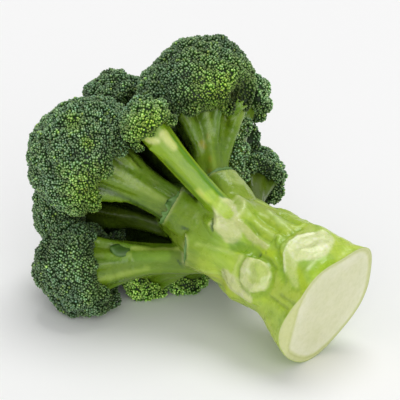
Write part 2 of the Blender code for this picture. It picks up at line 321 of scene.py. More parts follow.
# The plan of the head.
floretPlan = {
    # Name, azimuth, reach and height of the dome's middle, its radius, the branch's radius, the height,
    # azimuth and reach of the branch's root, its flare, and how far down the dome comes.
    "rows": (
        ("floret_upper", -8.5, 43.8, 110.6, 28.0, 7.4, 66, -60, 8, 0.44, 0.36),
        ("floret_small_front", -64, 46.5, 104, 11.5, 4.9, 44, -64, 10, 0.58, 0.36),
        ("floret_front", -103, 28.4, 128, 26.8, 8.0, 70, -101, 10, 0.52, 0.43),
        ("floret_low_front", -172, 49.6, 110.2, 21.8, 6.8, 56, -172, 10, 0.56, 0.47),
        ("floret_low_stalkward", 152, 40, 96, 13.0, 4.6, 56, 152, 10, 0.5, 0.36),
        ("floret_low_middle", 126, 40, 89, 12.5, 4.4, 50, 126, 10, 0.5, 0.36),
        ("floret_low_back", 94, 46, 103, 23.0, 6.6, 54, 94, 10, 0.55, 0.36),
        ("floret_back", 52, 46.8, 88.5, 14.4, 4.8, 50, 52, 10, 0.5, 0.36),
        ("floret_back_middle", 29, 44, 101.5, 12.5, 4.4, 62, 27, 8, 0.45, 0.40),
        ("floret_upper_back", 15.5, 57, 106.3, 14.2, 4.6, 66, 14, 10, 0.42, 0.36),
        ("floret_back_inner", 46, 39, 117, 22.0, 6.2, 64, 46, 10, 0.5, 0.36),
        ("floret_low_end", 136, 36, 119, 21.0, 5.6, 66, 136, 10, 0.42, 0.36),
        ("floret_end_low", -176, 28.5, 133.5, 21.5, 5.0, 72, -176, 8, 0.38, 0.36),
        ("floret_end_middle", 62, 14, 139, 24.5, 6.4, 76, 62, 8, 0.45, 0.36),
        ("floret_end_upper", -22, 21.5, 145, 16.0, 5.2, 76, -22, 8, 0.5, 0.36),
    ),
    "lobeOffset": 0.52,  # of the dome's radius
    "lobeRadius": 0.50,
    "lobeSpacing": 12.5,
    "gap": 0.2,
    "edgeSharpness": 14.0,
    # Where a dome is fuller or flatter than its lobes make it, as seen from the front: floret, across
    # and up in radii, size in radians, and how far out in millimetres.
    "swells": (
        ("floret_upper", -0.70, 0.71, 0.42, -3.2),
        ("floret_upper", 0.80, 0.55, 0.35, -1.4),
        ("floret_front", -0.62, 0.75, 0.42, -2.6),
        ("floret_low_front", -0.72, -0.60, 0.45, -2.4),
    ),
}


class Floret:
    def __init__(self, seed, row):
        self.seed = seed
        self.name, azimuth, reach, height, self.radius, self.stem, leave = row[:7]
        rootAzimuth, rootReach, self.flare, self.drop = row[7:]
        self.middle = polar(azimuth, reach, height)
        self.axis = (self.middle - Vector((0, 0, leave))).normalized()
        self.base = self.middle - self.axis * self.drop * self.radius
        self.root = polar(rootAzimuth, rootReach, leave)
        self.tip = self.base + self.axis * 3.0
        self.bend = self.base - self.axis * 0.45 * (self.base - self.root).length
        self.turn = aimTurn(self.axis)
        self.setLobes()

    def pathPoint(self, t):
        return bowed(self.root, self.bend, self.tip, t)

    def stemRadius(self, t):
        flare = max(0.0, (t - 0.45) / 0.55) ** 1.6
        return self.stem + (self.flare * self.radius - self.stem) * flare

    def setLobes(self):
        draw = np.random.default_rng(self.seed)
        count = max(8, countOver(self.radius, floretPlan["lobeSpacing"]))
        around = scatter(count, 0.10, draw)
        swell = draw.uniform(0.94, 1.05, count)
        middles = around * (floretPlan["lobeOffset"] * self.radius * swell)[:, None]
        self.lobeRadii = floretPlan["lobeRadius"] * self.radius * draw.uniform(0.96, 1.06, count)
        self.lobeMiddles = middles @ self.turn.T

    def domeReach(self, directions):
        along = directions @ self.lobeMiddles.T
        under = self.lobeRadii**2 - (self.lobeMiddles**2).sum(axis=1) + along**2
        return np.where(under > 0, along + np.sqrt(np.maximum(under, 0)), 0).max(axis=1)

    def setLimits(self, florets):  # planes that the dome stays behind: floor, underside and neighbours
        self.floorLimit = [(-floorNormal, float(np.array(self.middle) @ floorNormal) + headPose["floorDrop"])]
        self.baseLimit = [(-np.array(self.axis), self.drop * self.radius)]
        self.sideLimits = []
        for other in florets:
            if other is self:
                continue
            away = other.middle - self.middle
            apart = away.length
            if apart < self.radius + other.radius + 3:
                share = (apart**2 + self.radius**2 - other.radius**2) / (2 * apart)
                self.sideLimits.append((np.array(away / apart), share - floretPlan["gap"] / 2))
            self.sideLimits += self.stemLimits(other)

    def stemLimits(self, other):
        planes = []
        for i in range(7):
            start, end = other.pathPoint(i / 7), other.pathPoint((i + 1) / 7)
            run = end - start
            t = min(1.0, max(0.0, (self.middle - start).dot(run) / run.length_squared))
            away = start + run * t - self.middle
            thick = other.stemRadius((i + t) / 7) * 1.1 + 0.75
            if away.length - thick < self.radius + 0.75:
                planes.append((np.array(away.normalized()), away.length - thick))
        return planes


def limitReach(directions, planes):
    reach = np.full(len(directions), 1e3)
    for normal, distance in planes:
        facing = directions @ normal
        reach = np.minimum(reach, np.where(facing > 1e-6, distance / np.maximum(facing, 1e-6), 1e3))
    return reach


def softLeast(first, second, sharpness):
    return (first**-sharpness + second**-sharpness) ** (-1 / sharpness)


# The camera stands where the photographer's did.
cameraSpec = {
    "azimuth": 43.0,
    "elevation": 24.0,
    "distance": 0.76,
    "lens": 157.32,
    "cutSeenAt": (129, -108),  # the middle of the cut, in picture points right of and above the centre
    "pointsPerMm": 2.30,
    "nearer": 20.0,
}


def addCamera():  # also gives its right, up and back as directions of the upright head
    azimuth, elevation = math.radians(cameraSpec["azimuth"]), math.radians(cameraSpec["elevation"])
    back = Vector((
        math.sin(azimuth) * math.cos(elevation), -math.cos(azimuth) * math.cos(elevation), math.sin(elevation)
    ))
    right = Vector((math.cos(azimuth), math.sin(azimuth), 0))
    up = back.cross(right)
    across, above = (points / cameraSpec["pointsPerMm"] * mm for points in cameraSpec["cutSeenAt"])
    target = Vector(cutMiddle) * mm - right * across - up * above - back * cameraSpec["nearer"] * mm
    data = bpy.data.cameras.new("photographer")
    data.sensor_width = 36
    data.lens = cameraSpec["lens"]
    data.clip_start = 0.01
    camera = bpy.data.objects.new("photographer", data)
    bpy.context.scene.collection.objects.link(camera)
    stand = Matrix((right, up, back)).transposed().to_4x4()
    stand.translation = target + back * cameraSpec["distance"]
    camera.matrix_world = stand
    bpy.context.scene.camera = camera
    return np.array(layDown.T @ np.array([right, up, back]).T).T


viewRight, viewUp, viewBack = addCamera()
print("camera set")


def seenOffset(across, above, nearer):  # a step as it shows from the front
    return across * viewRight + above * viewUp + nearer * viewBack


def seenAim(across, above):
    return unit(seenOffset(across, above, math.sqrt(max(0, 1 - across**2 - above**2))))


def angleFrom(directions, aim):
    return np.arccos(np.clip(directions @ aim, -1, 1))


def sidesOf(way):  # the side of a branch that faces the front, and the one beside it
    front = (Vector(viewBack) - way * way.dot(Vector(viewBack))).normalized()
    return front, way.cross(front)


# Small bunches of buds that hang round the underside of each dome.
spraySpec = {
    "each": 3.1,  # one for this much radius, in millimetres
    "reach": (0.66, 0.86),  # of the floret's radius, from its axis
    "radius": (2.6, 4.0),
    "hang": (-0.6, 1.6),  # below the dome's flat side
    "clearFloor": 0.6,
    # Bunches along a branch, on the side towards the front: floret, place along, across, and radius.
    "alongBranch": (
        ("floret_upper_back", 0.34, 2.2, 4.0),
        ("floret_upper_back", 0.45, -0.6, 4.4),
        ("floret_upper_back", 0.56, 1.6, 4.6),
        ("floret_upper_back", 0.66, -1.6, 4.6),
        ("floret_upper_back", 0.78, 1.4, 5.0),
        ("floret_upper_back", 0.90, -2.0, 5.0),
    ),
}


def setSprays(floret):
    draw = np.random.default_rng(300 + floret.seed)
    floret.sprays = []
    count = max(4, round(floret.radius / spraySpec["each"]))
    start = draw.uniform(0, 360)
    scale = min(1.0, 0.55 + floret.radius / 50)
    for k in range(count):
        turn = math.radians(start + 360 * k / count + draw.uniform(-10, 10))
        outward = floret.turn @ np.array([math.cos(turn), math.sin(turn), 0])
        radius = draw.uniform(*spraySpec["radius"]) * scale
        reach = floret.radius * draw.uniform(*spraySpec["reach"])
        down = floret.drop * floret.radius + draw.uniform(*spraySpec["hang"])
        spot = outward * reach - np.array(floret.axis) * down
        clear = radius + spraySpec["clearFloor"]
        if any(spot @ normal > distance - radius * 0.6 for normal, distance in floret.sideLimits):
            continue
        if any(spot @ normal > distance - clear for normal, distance in floret.floorLimit):
            continue
        floret.sprays.append((spot, radius))
    for name, t, across, radius in spraySpec["alongBranch"]:
        if name == floret.name:
            lift = seenOffset(across, 0, floret.stemRadius(t) + 0.6)
            floret.sprays.append((np.array(floret.pathPoint(t) - floret.middle) + lift, radius))


florets = [Floret(seed, row) for seed, row in enumerate(floretPlan["rows"])]
for floret in florets:
    floret.setLimits(florets)
    setSprays(floret)
floretNamed = {floret.name: floret for floret in florets}


budSpec = {
    "spacing": 1.14,
    "wander": 0.19,  # of the spacing
    "width": 0.64,  # of the spacing, from the bud's middle to its side
    "sizes": (0.64, 1.22),
    # A bud's rings, from its foot: how wide, how high, and its tone from the foot's, 0, to the tip's, 1.
    # The dark foot is partly the buds' own deeper green and partly painted shade in the gaps between them;
    # the pale tip is partly their waxy bloom and partly a painted highlight.
    "rings": ((1.0, -0.4, 0.0), (0.88, 0.34, 0.28), (0.42, 0.94, 0.72)),
    "top": 1.1,
    "sides": 5,
    "clumpSpacing": 5.4,
    "clumpHeight": 1.9,
    "clumpSink": 1.1,
    "coreSpacing": 2.0,
    "coreSink": 0.35,
    "clearFloor": 0.7,
    "tones": {
        "foot": ((30, 56, 14), (60, 96, 8)),  # plain, and where it is pale
        "shoulder": ((50, 98, 28), (108, 164, 18)),
        "tip": ((178, 206, 160), (222, 248, 118)),
    },
    "coolShift": (-0.10, 0.0, 0.22),
    "underShade": 0.55,
    "lightWander": 0.22,
    "paleBuds": 0.035,  # the share of single pale buds
    # Patches where the stems show through paler, as seen from the front: floret, across and up in
    # radii, size in radii, and strength.
    "palePatches": (
        ("floret_small_front", 0.25, -0.35, 1.0, 1.0),
        ("floret_upper", 0.40, -0.04, 0.60, 0.95),
        ("floret_upper", 0.10, -0.15, 0.40, 0.45),
        ("floret_upper", 0.0, 0.55, 0.3, 0.22),
        ("floret_front", -0.21, 0.53, 0.16, 0.65),
        ("floret_front", 0.04, 0.19, 0.12, 0.8),
        ("floret_front", 0.15, -0.62, 0.50, 0.85),
        ("floret_low_front", 0.1, 0.1, 0.35, 0.3),
        ("floret_front", -0.35, -0.25, 0.15, 0.35),
        ("floret_upper_back", 0.0, 0.1, 0.6, 0.45),
        ("floret_low_stalkward", 0.1, 0.0, 1.4, 0.75),
        ("floret_low_middle", 0.2, 0.0, 1.3, 0.75),
        ("floret_low_front", 0.35, -0.45, 0.3, 0.35),
        ("floret_back", 0.1, -0.4, 0.4, 0.30),
    ),
    # How light some florets are against the rest; the low florets on the underside are painted lighter
    # against the shade they lie in.
    "floretLight": {
        "floret_low_front": 0.85, "floret_upper": 0.89, "floret_end_upper": 0.9, "floret_back": 1.2,
        "floret_low_stalkward": 1.7, "floret_low_middle": 1.7, "floret_upper_back": 1.35,
    },
}

# A hollow under the rim of the large dome, where thin twigs show. Its places are in radii of the
# dome: to the right, up, and towards the front.
pitSpec = {
    "floret": "floret_upper",
    "aim": (0.80, -0.05),
    "size": 0.34,
    "deep": 13.0,
    # how much painted shade falls on the buds in and round the hollow
    "shade": 0.9,
    "twigRoot": (0.44, -0.28, 0.32),
    "twigTips": ((0.61, -0.02, 0.61), (0.70, -0.04, 0.55), (0.76, -0.12, 0.49), (0.67, -0.16, 0.55)),
    "twigRadius": 0.95,
}


def clumpsOf(floret, draw):
    count = countOver(floret.radius, budSpec["clumpSpacing"])
    return scatter(count, 0.28 * budSpec["clumpSpacing"] / floret.radius, draw) @ floret.turn.T


def clumpDistance(directions, clumps, radius):
    closeness = directions @ clumps.T
    which = closeness.argmax(axis=1)
    return np.arccos(np.clip(closeness[np.arange(len(directions)), which], -1, 1)) * radius


def domeShift(floret, directions):
    shift = np.zeros(len(directions))
    for name, across, above, size, out in floretPlan["swells"]:
        if name == floret.name:
            shift += out * np.exp(-((angleFrom(directions, seenAim(across, above)) / size) ** 2))
    return shift


def pitShare(floret, directions):
    if floret.name != pitSpec["floret"]:
        return np.zeros(len(directions))
    return np.exp(-((angleFrom(directions, seenAim(*pitSpec["aim"])) / pitSpec["size"]) ** 4))


def surfaceReach(floret, directions, clumps):
    off = clumpDistance(directions, clumps, floret.radius)
    mound = budSpec["clumpHeight"] * np.maximum(0, 1 - (off / (0.66 * budSpec["clumpSpacing"])) ** 2)
    dome = floret.domeReach(directions) + mound - budSpec["clumpSink"] + domeShift(floret, directions)
    dome -= pitSpec["deep"] * pitShare(floret, directions)
    limit = limitReach(directions, floret.sideLimits + floret.baseLimit)
    reach = softLeast(dome, limit, floretPlan["edgeSharpness"])
    floor = [(normal, distance - budSpec["clearFloor"]) for normal, distance in floret.floorLimit]
    return np.minimum(reach, limitReach(directions, floor)), dome, off


def sideways(directions):
    spare = np.where(np.abs(directions[:, 2:3]) < 0.9, [[0.0, 0.0, 1.0]], [[1.0, 0.0, 0.0]])
    first = unit(np.cross(directions, spare))
    return first, np.cross(directions, first)


def surfaceNormals(floret, directions, clumps):
    first, second = sideways(directions)
    step = 0.5 / floret.radius
    corners = []
    for shift in (first, -0.5 * first + 0.866 * second, -0.5 * first - 0.866 * second):
        moved = unit(directions + shift * step)
        corners.append(moved * surfaceReach(floret, moved, clumps)[0][:, None])
    normals = unit(np.cross(corners[1] - corners[0], corners[2] - corners[0]))
    return normals * np.sign((normals * directions).sum(axis=1))[:, None]


def paleness(floret, points):
    amount = np.zeros(len(points))
    for name, across, above, size, strength in budSpec["palePatches"]:
        if name != floret.name:
            continue
        seen = np.stack([points @ viewRight, points @ viewUp], axis=1) / floret.radius
        off = np.hypot(seen[:, 0] - across, seen[:, 1] - above) / size
        front = (points @ viewBack) > -0.25 * floret.radius
        amount = np.maximum(amount, strength * np.clip(1.35 - off, 0, 1) * front)
    return amount


def budTones(pale, light, cool):
    tones = []
    for plain, yellow in budSpec["tones"].values():
        tone = blendRows(linear(*plain), linear(*yellow), pale)
        tones.append(tone * light[:, None] * (1 + cool[:, None] * np.array([budSpec["coolShift"]])))
    return tones


def coreMesh(floret, clumps):  # what the buds stand on
    directions = evenDirections(countOver(floret.radius, budSpec["coreSpacing"])) @ floret.turn.T
    work = bmesh.new()
    verts = [work.verts.new(direction) for direction in directions]
    work.verts.index_update()
    bmesh.ops.convex_hull(work, input=verts)
    faces = np.array([[v.index for v in face.verts] for face in work.faces])
    work.free()
    reach = surfaceReach(floret, directions, clumps)[0] - budSpec["coreSink"]
    return directions * reach[:, None], faces


def domeBuds(floret, clumps, draw):
    count = countOver(floret.radius, budSpec["spacing"])
    wander = budSpec["wander"] * budSpec["spacing"] / floret.radius
    directions = scatter(count, wander, draw) @ floret.turn.T
    reach, dome, off = surfaceReach(floret, directions, clumps)
    side = limitReach(directions, floret.sideLimits)
    axis = np.array(floret.axis)
    points = directions * reach[:, None]
    depth = points @ axis / floret.radius + floret.drop
    fromAxis = np.linalg.norm(points - np.outer(points @ axis, axis), axis=1)
    keep = (side > 0.84 * dome) & ((depth > 0.12) | (fromAxis > floret.flare * floret.radius + 0.4))
    directions = directions[keep]
    return points[keep], surfaceNormals(floret, directions, clumps), off[keep], depth[keep]


def sprayBuds(floret, draw):
    points, normals = [np.empty((0, 3))], [np.empty((0, 3))]
    axis = np.array(floret.axis)
    for middle, radius in floret.sprays:
        around = scatter(countOver(radius, budSpec["spacing"]), 0.10, draw) @ aimTurn(draw.normal(size=3)).T
        outward = unit(middle - axis * (middle @ axis))
        kept = around[(around @ axis < 0.55) & (around @ outward > -0.72)]
        points.append(middle + kept * radius * draw.uniform(0.92, 1.10, (len(kept), 1)))
        normals.append(kept)
    return np.concatenate(points), np.concatenate(normals)


def budFaces(count):  # corners of every bud's faces, and how many corners each face has
    sides, rings = budSpec["sides"], len(budSpec["rings"])
    quads, tops = [], []
    for k in range(sides):
        following = (k + 1) % sides
        tops.append([(rings - 1) * sides + k, (rings - 1) * sides + following, rings * sides])
    for ring in range(rings - 1):
        for k in range(sides):
            a, b = ring * sides + k, ring * sides + (k + 1) % sides
            quads.append([a, b, b + sides, a + sides])
    starts = (np.arange(count) * (rings * sides + 1))[:, None, None]
    loops = [(starts + np.array(faces)[None]).reshape(-1) for faces in (quads, tops)]
    return np.concatenate(loops), np.repeat([4, 3], [count * len(quads), count * len(tops)])


def budShapes(points, normals, size, tones, draw):
    first, second = sideways(normals)
    spin = draw.uniform(0, 2 * math.pi, len(points))
    stretch = draw.uniform(0.85, 1.2, len(points))
    foot, shoulder, tip = tones
    turn = spin[:, None] + np.arange(budSpec["sides"]) * 2 * math.pi / budSpec["sides"]
    rings, colours = [], []
    for wide, high, tone in budSpec["rings"]:
        across = first[:, None] * (np.cos(turn) * wide)[..., None]
        along = second[:, None] * (np.sin(turn) * wide * stretch[:, None])[..., None]
        rings.append(points[:, None] + (across + along + normals[:, None] * high) * size[:, None, None])
        middle = shoulder * (1 - abs(tone - 0.5) / 0.5)
        shade = foot * max(0, 1 - tone / 0.5) + middle + tip * max(0, (tone - 0.5) / 0.5)
        colours.append(np.repeat(shade[:, None], budSpec["sides"], axis=1))
    top = points + normals * (budSpec["top"] * size)[:, None]
    budPoints = np.concatenate([*rings, top[:, None]], axis=1)
    budTints = np.concatenate([*colours, tip[:, None]], axis=1)
    return budPoints.reshape(-1, 3), budTints.reshape(-1, 3), *budFaces(len(points))


def addFloret(floret, finish):
    draw = np.random.default_rng(100 + floret.seed)
    clumps = clumpsOf(floret, draw)
    corePoints, coreFaces = coreMesh(floret, clumps)
    points, normals, off, depth = domeBuds(floret, clumps, draw)
    sprayPoints, sprayNormals = sprayBuds(floret, draw)
    points, normals = np.concatenate([points, sprayPoints]), np.concatenate([normals, sprayNormals])
    off = np.concatenate([off, draw.uniform(1, 3, len(sprayPoints))])
    depth = np.concatenate([depth, np.full(len(sprayPoints), 0.10)])
    count = len(points)
    middle = np.array(floret.middle)
    under = np.clip(1 - depth / 0.22, 0, 1)
    pale = np.maximum(paleness(floret, points), (draw.random(count) < budSpec["paleBuds"]) * 0.5)
    pale = np.maximum(pale, 0.35 * under * draw.random(count))
    # Random tone, and painted shade: buds on the dome's underside and on the hanging bunches are darker.
    light = np.exp(draw.normal(0, budSpec["lightWander"], count)) * (1 - (1 - budSpec["underShade"]) * under)
    # Painted shade: buds away from the middle of their clump, in the creases between clumps, are darker.
    light *= 1.10 - 0.42 * np.clip(off / (0.6 * budSpec["clumpSpacing"]), 0, 1) ** 2
    light *= 1 + 0.22 * smoothNoise(points + middle, 0.22, 21)
    light *= budSpec["floretLight"].get(floret.name, 1.0)
    # Painted shade on the buds in and round the hollow.
    light *= 1 - pitSpec["shade"] * pitShare(floret, unit(points)) ** 0.4
    cool = draw.normal(0.1, 0.45, count) + 0.5 * smoothNoise(points + middle, 0.30, 22)
    size = budSpec["spacing"] * budSpec["width"] * draw.uniform(*budSpec["sizes"], count) * (1 - 0.15 * under)
    budPoints, budTints, loops, sizes = budShapes(points, normals, size, budTones(pale, light, cool), draw)
    # The core between the buds is painted darker than their feet, as shade deep in the gaps.
    coreTints = np.tile(linear(*budSpec["tones"]["foot"][0]) * 0.7, (len(corePoints), 1))
    world = aboveFloor(np.concatenate([budPoints, corePoints]) + middle)
    loops = np.concatenate([loops, (coreFaces + len(budPoints)).reshape(-1)])
    sizes = np.concatenate([sizes, np.full(len(coreFaces), 3)])
    mesh = quickMesh("buds_" + floret.name, world, loops, sizes, np.concatenate([budTints, coreTints]))
    place("buds_" + floret.name, mesh, finish, "buds", floret.name)
    shadeForms.append((toWorld(corePoints + middle) / mm, coreFaces))
    return count


shadeForms = []  # the domes, kept for working out how deep the stalk lies among them

trunkSpec = {
    # height, half width along X, half width along Y, shift along X, shift along Y
    "rings": (
        (-8, 30.8, 26.2, 0.5, 0),
        (0, 29.5, 25.2, 0.5, 0),
        (9, 27.0, 23.4, 1.2, 0),
        (24, 24.4, 21.4, 2.2, 0),
        (42, 21.8, 19.8, 1.8, 0),
        (58, 20.6, 19.4, 1.0, 0),
        (74, 18.2, 18.2, 0, 0),
        (90, 14.0, 14.0, 0, 0),
        (102, 7.0, 7.0, 0, 0),
    ),
    "levels": 55,
    "sides": 72,
    "ribs": 5,
    "ribDepth": 0.7,
    "ribTwist": 0.9,
    "voxel": 0.72,
    # Where the main stem swells or narrows: azimuth, height, degrees, millimetres, and how far out.
    "swells": (
        (-42, 2, 32, 9, -2.6),
        (180, 26, 42, 10, -3.2),
        (178, 48, 34, 5, -1.8),
        (0, 0, 24, 6, 1.3),
        (-164, 43, 17, 4, 2.4),
    ),
}


def trunkShift(azimuth, height):
    shift = 0.0
    for middle, level, wide, tall, out in trunkSpec["swells"]:
        turn = (azimuth - middle + 180) % 360 - 180
        shift += out * math.exp(-((turn / wide) ** 2) - ((height - level) / tall) ** 2)
    return shift


def trunkSection(height):
    rings = np.array(trunkSpec["rings"], float)
    i = int(np.clip(np.searchsorted(rings[:, 0], height) - 1, 0, len(rings) - 2))
    t = (height - rings[i, 0]) / (rings[i + 1, 0] - rings[i, 0])
    before, after = rings[max(i - 1, 0), 1:], rings[min(i + 2, len(rings) - 1), 1:]
    a, b = rings[i, 1:], rings[i + 1, 1:]
    slopeA, slopeB = (b - before) / 2, (after - a) / 2
    return (
        (2 * t**3 - 3 * t**2 + 1) * a + (t**3 - 2 * t**2 + t) * slopeA
        + (3 * t**2 - 2 * t**3) * b + (t**3 - t**2) * slopeB
    )


def joinRings(work, rings):
    for low, high in zip(rings, rings[1:]):
        for k in range(len(low)):
            after = (k + 1) % len(low)
            work.faces.new((low[k], low[after], high[after], high[k]))
    work.faces.new(rings[0][::-1])
    work.faces.new(rings[-1])


def addTube(work, centres, radii, sides, ribs=0, ribDepth=0.0):
    centres = [Vector(c) for c in centres]
    rings = []
    for i, centre in enumerate(centres):
        turn = Matrix(aimTurn(centres[min(i + 1, len(centres) - 1)] - centres[max(i - 1, 0)]))
        ring = []
        for k in range(sides):
            angle = 2 * math.pi * k / sides
            radius = radii[i] * (1 + ribDepth * math.cos(ribs * angle))
            spoke = Vector((radius * math.cos(angle), radius * math.sin(angle), 0))
            ring.append(work.verts.new(centre + turn @ spoke))
        rings.append(ring)
    joinRings(work, rings)


def addTrunk(work):
    low, high = trunkSpec["rings"][0][0], trunkSpec["rings"][-1][0]
    rings = []
    for level in range(trunkSpec["levels"] + 1):
        height = low + (high - low) * level / trunkSpec["levels"]
        halfX, halfY, shiftX, shiftY = trunkSection(height)
        ring = []
        for k in range(trunkSpec["sides"]):
            angle = 2 * math.pi * k / trunkSpec["sides"]
            twisted = trunkSpec["ribs"] * (angle + math.radians(trunkSpec["ribTwist"] * height))
            rib = trunkSpec["ribDepth"] * math.cos(twisted) + trunkShift(math.degrees(angle), height)
            ring.append(work.verts.new((
                (halfX + rib) * math.cos(angle) + shiftX, (halfY + rib) * math.sin(angle) + shiftY, height
            )))
        rings.append(ring)
    joinRings(work, rings)


# Feet of the cut leaf stalks.
footSpec = {
    # Azimuth, height of the lip, half width, how proud, how the scar faces, how long its tail is, and
    # strengths of the scar's colour, of its edge, and of the shade behind the lip.
    "rows": (
        (-50, 20, 15.0, 3.6, 78, 0.6, 0.15, 0.15, 0),
        (-118, 34, 11.0, 5.4, 78, 1.0, 0.25, 0.60, 0),
        (-69, 58, 12.0, 5.2, 70, 1.0, 0.25, 0.90, 0),
        (-140, 68, 10.0, 5.8, 50, 1.0, 0.55, 0.35, 1),
        (-99, 84, 10.5, 8.0, 36, 1.0, 0.55, 0.35, 1),
        (-16, 80, 10.0, 11.0, 34, 1.0, 0.55, 0.35, 1),
        (28, 46, 10.5, 4.4, 60, 1.0, 0.55, 0.35, 1),
        (84, 27, 12.0, 4.6, 66, 1.0, 0.55, 0.35, 1),
        (152, 49, 10.5, 3.6, 60, 1.0, 0.55, 0.35, 1),
        (62, 70, 9.5, 5.8, 44, 1.0, 0.55, 0.35, 1),
    ),
    "length": 22.0,
    "thickness": 8.0,
    "lean": 16.0,
}


def sliceOff(work, spot, normal, nearby=0.0):
    bmesh.ops.bisect_plane(
        work, geom=[*work.verts, *work.edges, *work.faces], plane_co=spot, plane_no=normal,
        clear_outer=True, dist=nearby,
    )


def footFrame(row):
    azimuth, lip, _, proud, facing = row[:5]
    halfX, halfY, shiftX, shiftY = trunkSection(lip)
    turn = math.radians(azimuth)
    out = Vector((math.cos(turn), math.sin(turn), 0))
    side = Vector((-math.sin(turn), math.cos(turn), 0))
    skin = Vector((halfX * out.x + shiftX, halfY * out.y + shiftY, lip))
    lean = math.radians(footSpec["lean"])
    up = Vector((0, 0, 1))
    along = up * math.cos(lean) + out * math.sin(lean)
    away = out * math.cos(lean) - up * math.sin(lean)
    middle = skin + out * (proud - footSpec["thickness"]) - along * footSpec["length"] * 0.35
    normal = up * math.cos(math.radians(facing)) + out * math.sin(math.radians(facing))
    return out, side, along, away, middle, skin + out * proud * 0.3, normal


def addFoot(work, row):
    _, side, along, away, middle, lipPoint, normal = footFrame(row)
    thickness, halfWidth, length, tail = footSpec["thickness"], row[2], footSpec["length"], row[5]
    foot = bmesh.new()
    bmesh.ops.create_uvsphere(foot, u_segments=28, v_segments=18, radius=1)
    for vert in foot.verts:
        x, y, z = vert.co
        z *= tail if z < 0 else 1.0
        vert.co = middle + away * x * thickness + side * y * halfWidth + along * z * length
    sliceOff(foot, lipPoint, normal)
    bmesh.ops.holes_fill(foot, edges=foot.edges)
    copy = bpy.data.meshes.new("foot")
    foot.to_mesh(copy)
    foot.free()
    work.from_mesh(copy)
    bpy.data.meshes.remove(copy)


# Near its dome each branch forks into stout, nearly parallel arms.
forkSpec = {
    "each": 4.2,
    "leave": 0.60,
    "reach": (0.40, 0.66),
    "thick": 0.36,
    "into": 2.2,
    # Arms that leave a branch sooner: floret, place along, right, up and towards the front in
    # millimetres, and radius.
    "sideArms": (
        ("floret_small_front", 0.68, (-10.5, 5.5, 3.5), 2.7),
        ("floret_front", 0.60, (-6.0, 12.0, 4.0), 2.4),
    ),
}


def addPitTwigs(work, floret):
    ts = np.linspace(0, 1, 8)
    root = floret.middle + Vector(seenOffset(*pitSpec["twigRoot"])) * floret.radius
    for offset in pitSpec["twigTips"]:
        tip = floret.middle + Vector(seenOffset(*offset)) * floret.radius
        bend = root.lerp(tip, 0.5) + Vector(viewBack) * 1.5
        points = [bowed(root, bend, tip, t) for t in ts]
        addTube(work, points, [pitSpec["twigRadius"] * (1.3 - 0.6 * t) for t in ts], 10)


def addSideArms(work, floret):
    for name, t, offset, thick in forkSpec["sideArms"]:
        if name == floret.name:
            begin = floret.pathPoint(t)
            way = Vector(seenOffset(*offset))
            points = [begin + way * s + floret.axis * 3.0 * s * s for s in np.linspace(0, 1, 8)]
            addTube(work, points, [thick * (1.25 - 0.3 * s) for s in np.linspace(0, 1, 8)], 16)


def addForks(work, floret, draw):
    count = max(4, round(floret.radius / forkSpec["each"]))
    start = draw.uniform(0, 360)
    ts = np.linspace(0, 1, 9)
    for k in range(count):
        turn = math.radians(start + 360 * k / count + draw.uniform(-16, 16))
        outward = Vector(floret.turn @ np.array([math.cos(turn), math.sin(turn), 0]))
        leave = forkSpec["leave"] + draw.uniform(-0.12, 0.12)
        thick = floret.stem * forkSpec["thick"] * draw.uniform(0.8, 1.2)
        begin = floret.pathPoint(leave) + outward * (floret.stemRadius(leave) - thick * 0.9)
        aside = outward * floret.radius * draw.uniform(*forkSpec["reach"])
        end = floret.base + aside + floret.axis * forkSpec["into"]
        bend = begin * 0.45 + end * 0.55 - outward * floret.radius * 0.05
        addTube(work, [bowed(begin, bend, end, t) for t in ts], [thick * (0.9 + 0.35 * t) for t in ts], 14)


def addBranch(work, floret, draw):
    ts = [i / 14 for i in range(15)]
    addTube(work, [floret.pathPoint(t) for t in ts], [floret.stemRadius(t) for t in ts], 30, 5, 0.07)
    addForks(work, floret, draw)
    addSideArms(work, floret)
    if floret.name == pitSpec["floret"]:
        addPitTwigs(work, floret)


def roughStalk():
    draw = np.random.default_rng(7)
    work = bmesh.new()
    addTrunk(work)
    for row in footSpec["rows"]:
        addFoot(work, row)
    for floret in florets:
        addBranch(work, floret, draw)
    bmesh.ops.recalc_face_normals(work, faces=work.faces)
    bmesh.ops.scale(work, verts=work.verts, vec=(mm, mm, mm))
    mesh = bpy.data.meshes.new("stalkShapes")
    work.to_mesh(mesh)
    work.free()
    piece = bpy.data.objects.new("stalkShapes", mesh)
    bpy.context.scene.collection.objects.link(piece)
    grow = piece.modifiers.new("growTogether", "REMESH")
    grow.mode = "VOXEL"
    grow.voxel_size = trunkSpec["voxel"] * mm
    soften = piece.modifiers.new("soften", "SMOOTH")
    soften.iterations = 5
    bpy.context.view_layer.update()
    grown = bpy.data.meshes.new_from_object(piece.evaluated_get(bpy.context.evaluated_depsgraph_get()))
    bpy.data.objects.remove(piece)
    return grown


# The cut, and the knife's second, slanted stroke along one side of it.
knifeSpec = {
    "tilt": -2.5,
    "rise": 3.2,
    "slantAzimuth": -128.0,
    "slantFrom": 20.5,
    "slant": 38.0,
}


def knifePlane():  # a place on the cut, and its outward direction
    tilt = math.radians(knifeSpec["tilt"])
    return np.array([0, 0, knifeSpec["rise"]]), np.array([0, math.sin(tilt), -math.cos(tilt)])


def slantPlane():
    spot, normal = knifePlane()
    out = np.array(polar(knifeSpec["slantAzimuth"], 1, 0))
    out = unit(out - normal * (out @ normal))
    slant = math.radians(knifeSpec["slant"])
    return spot + out * knifeSpec["slantFrom"], normal * math.cos(slant) + out * math.sin(slant)


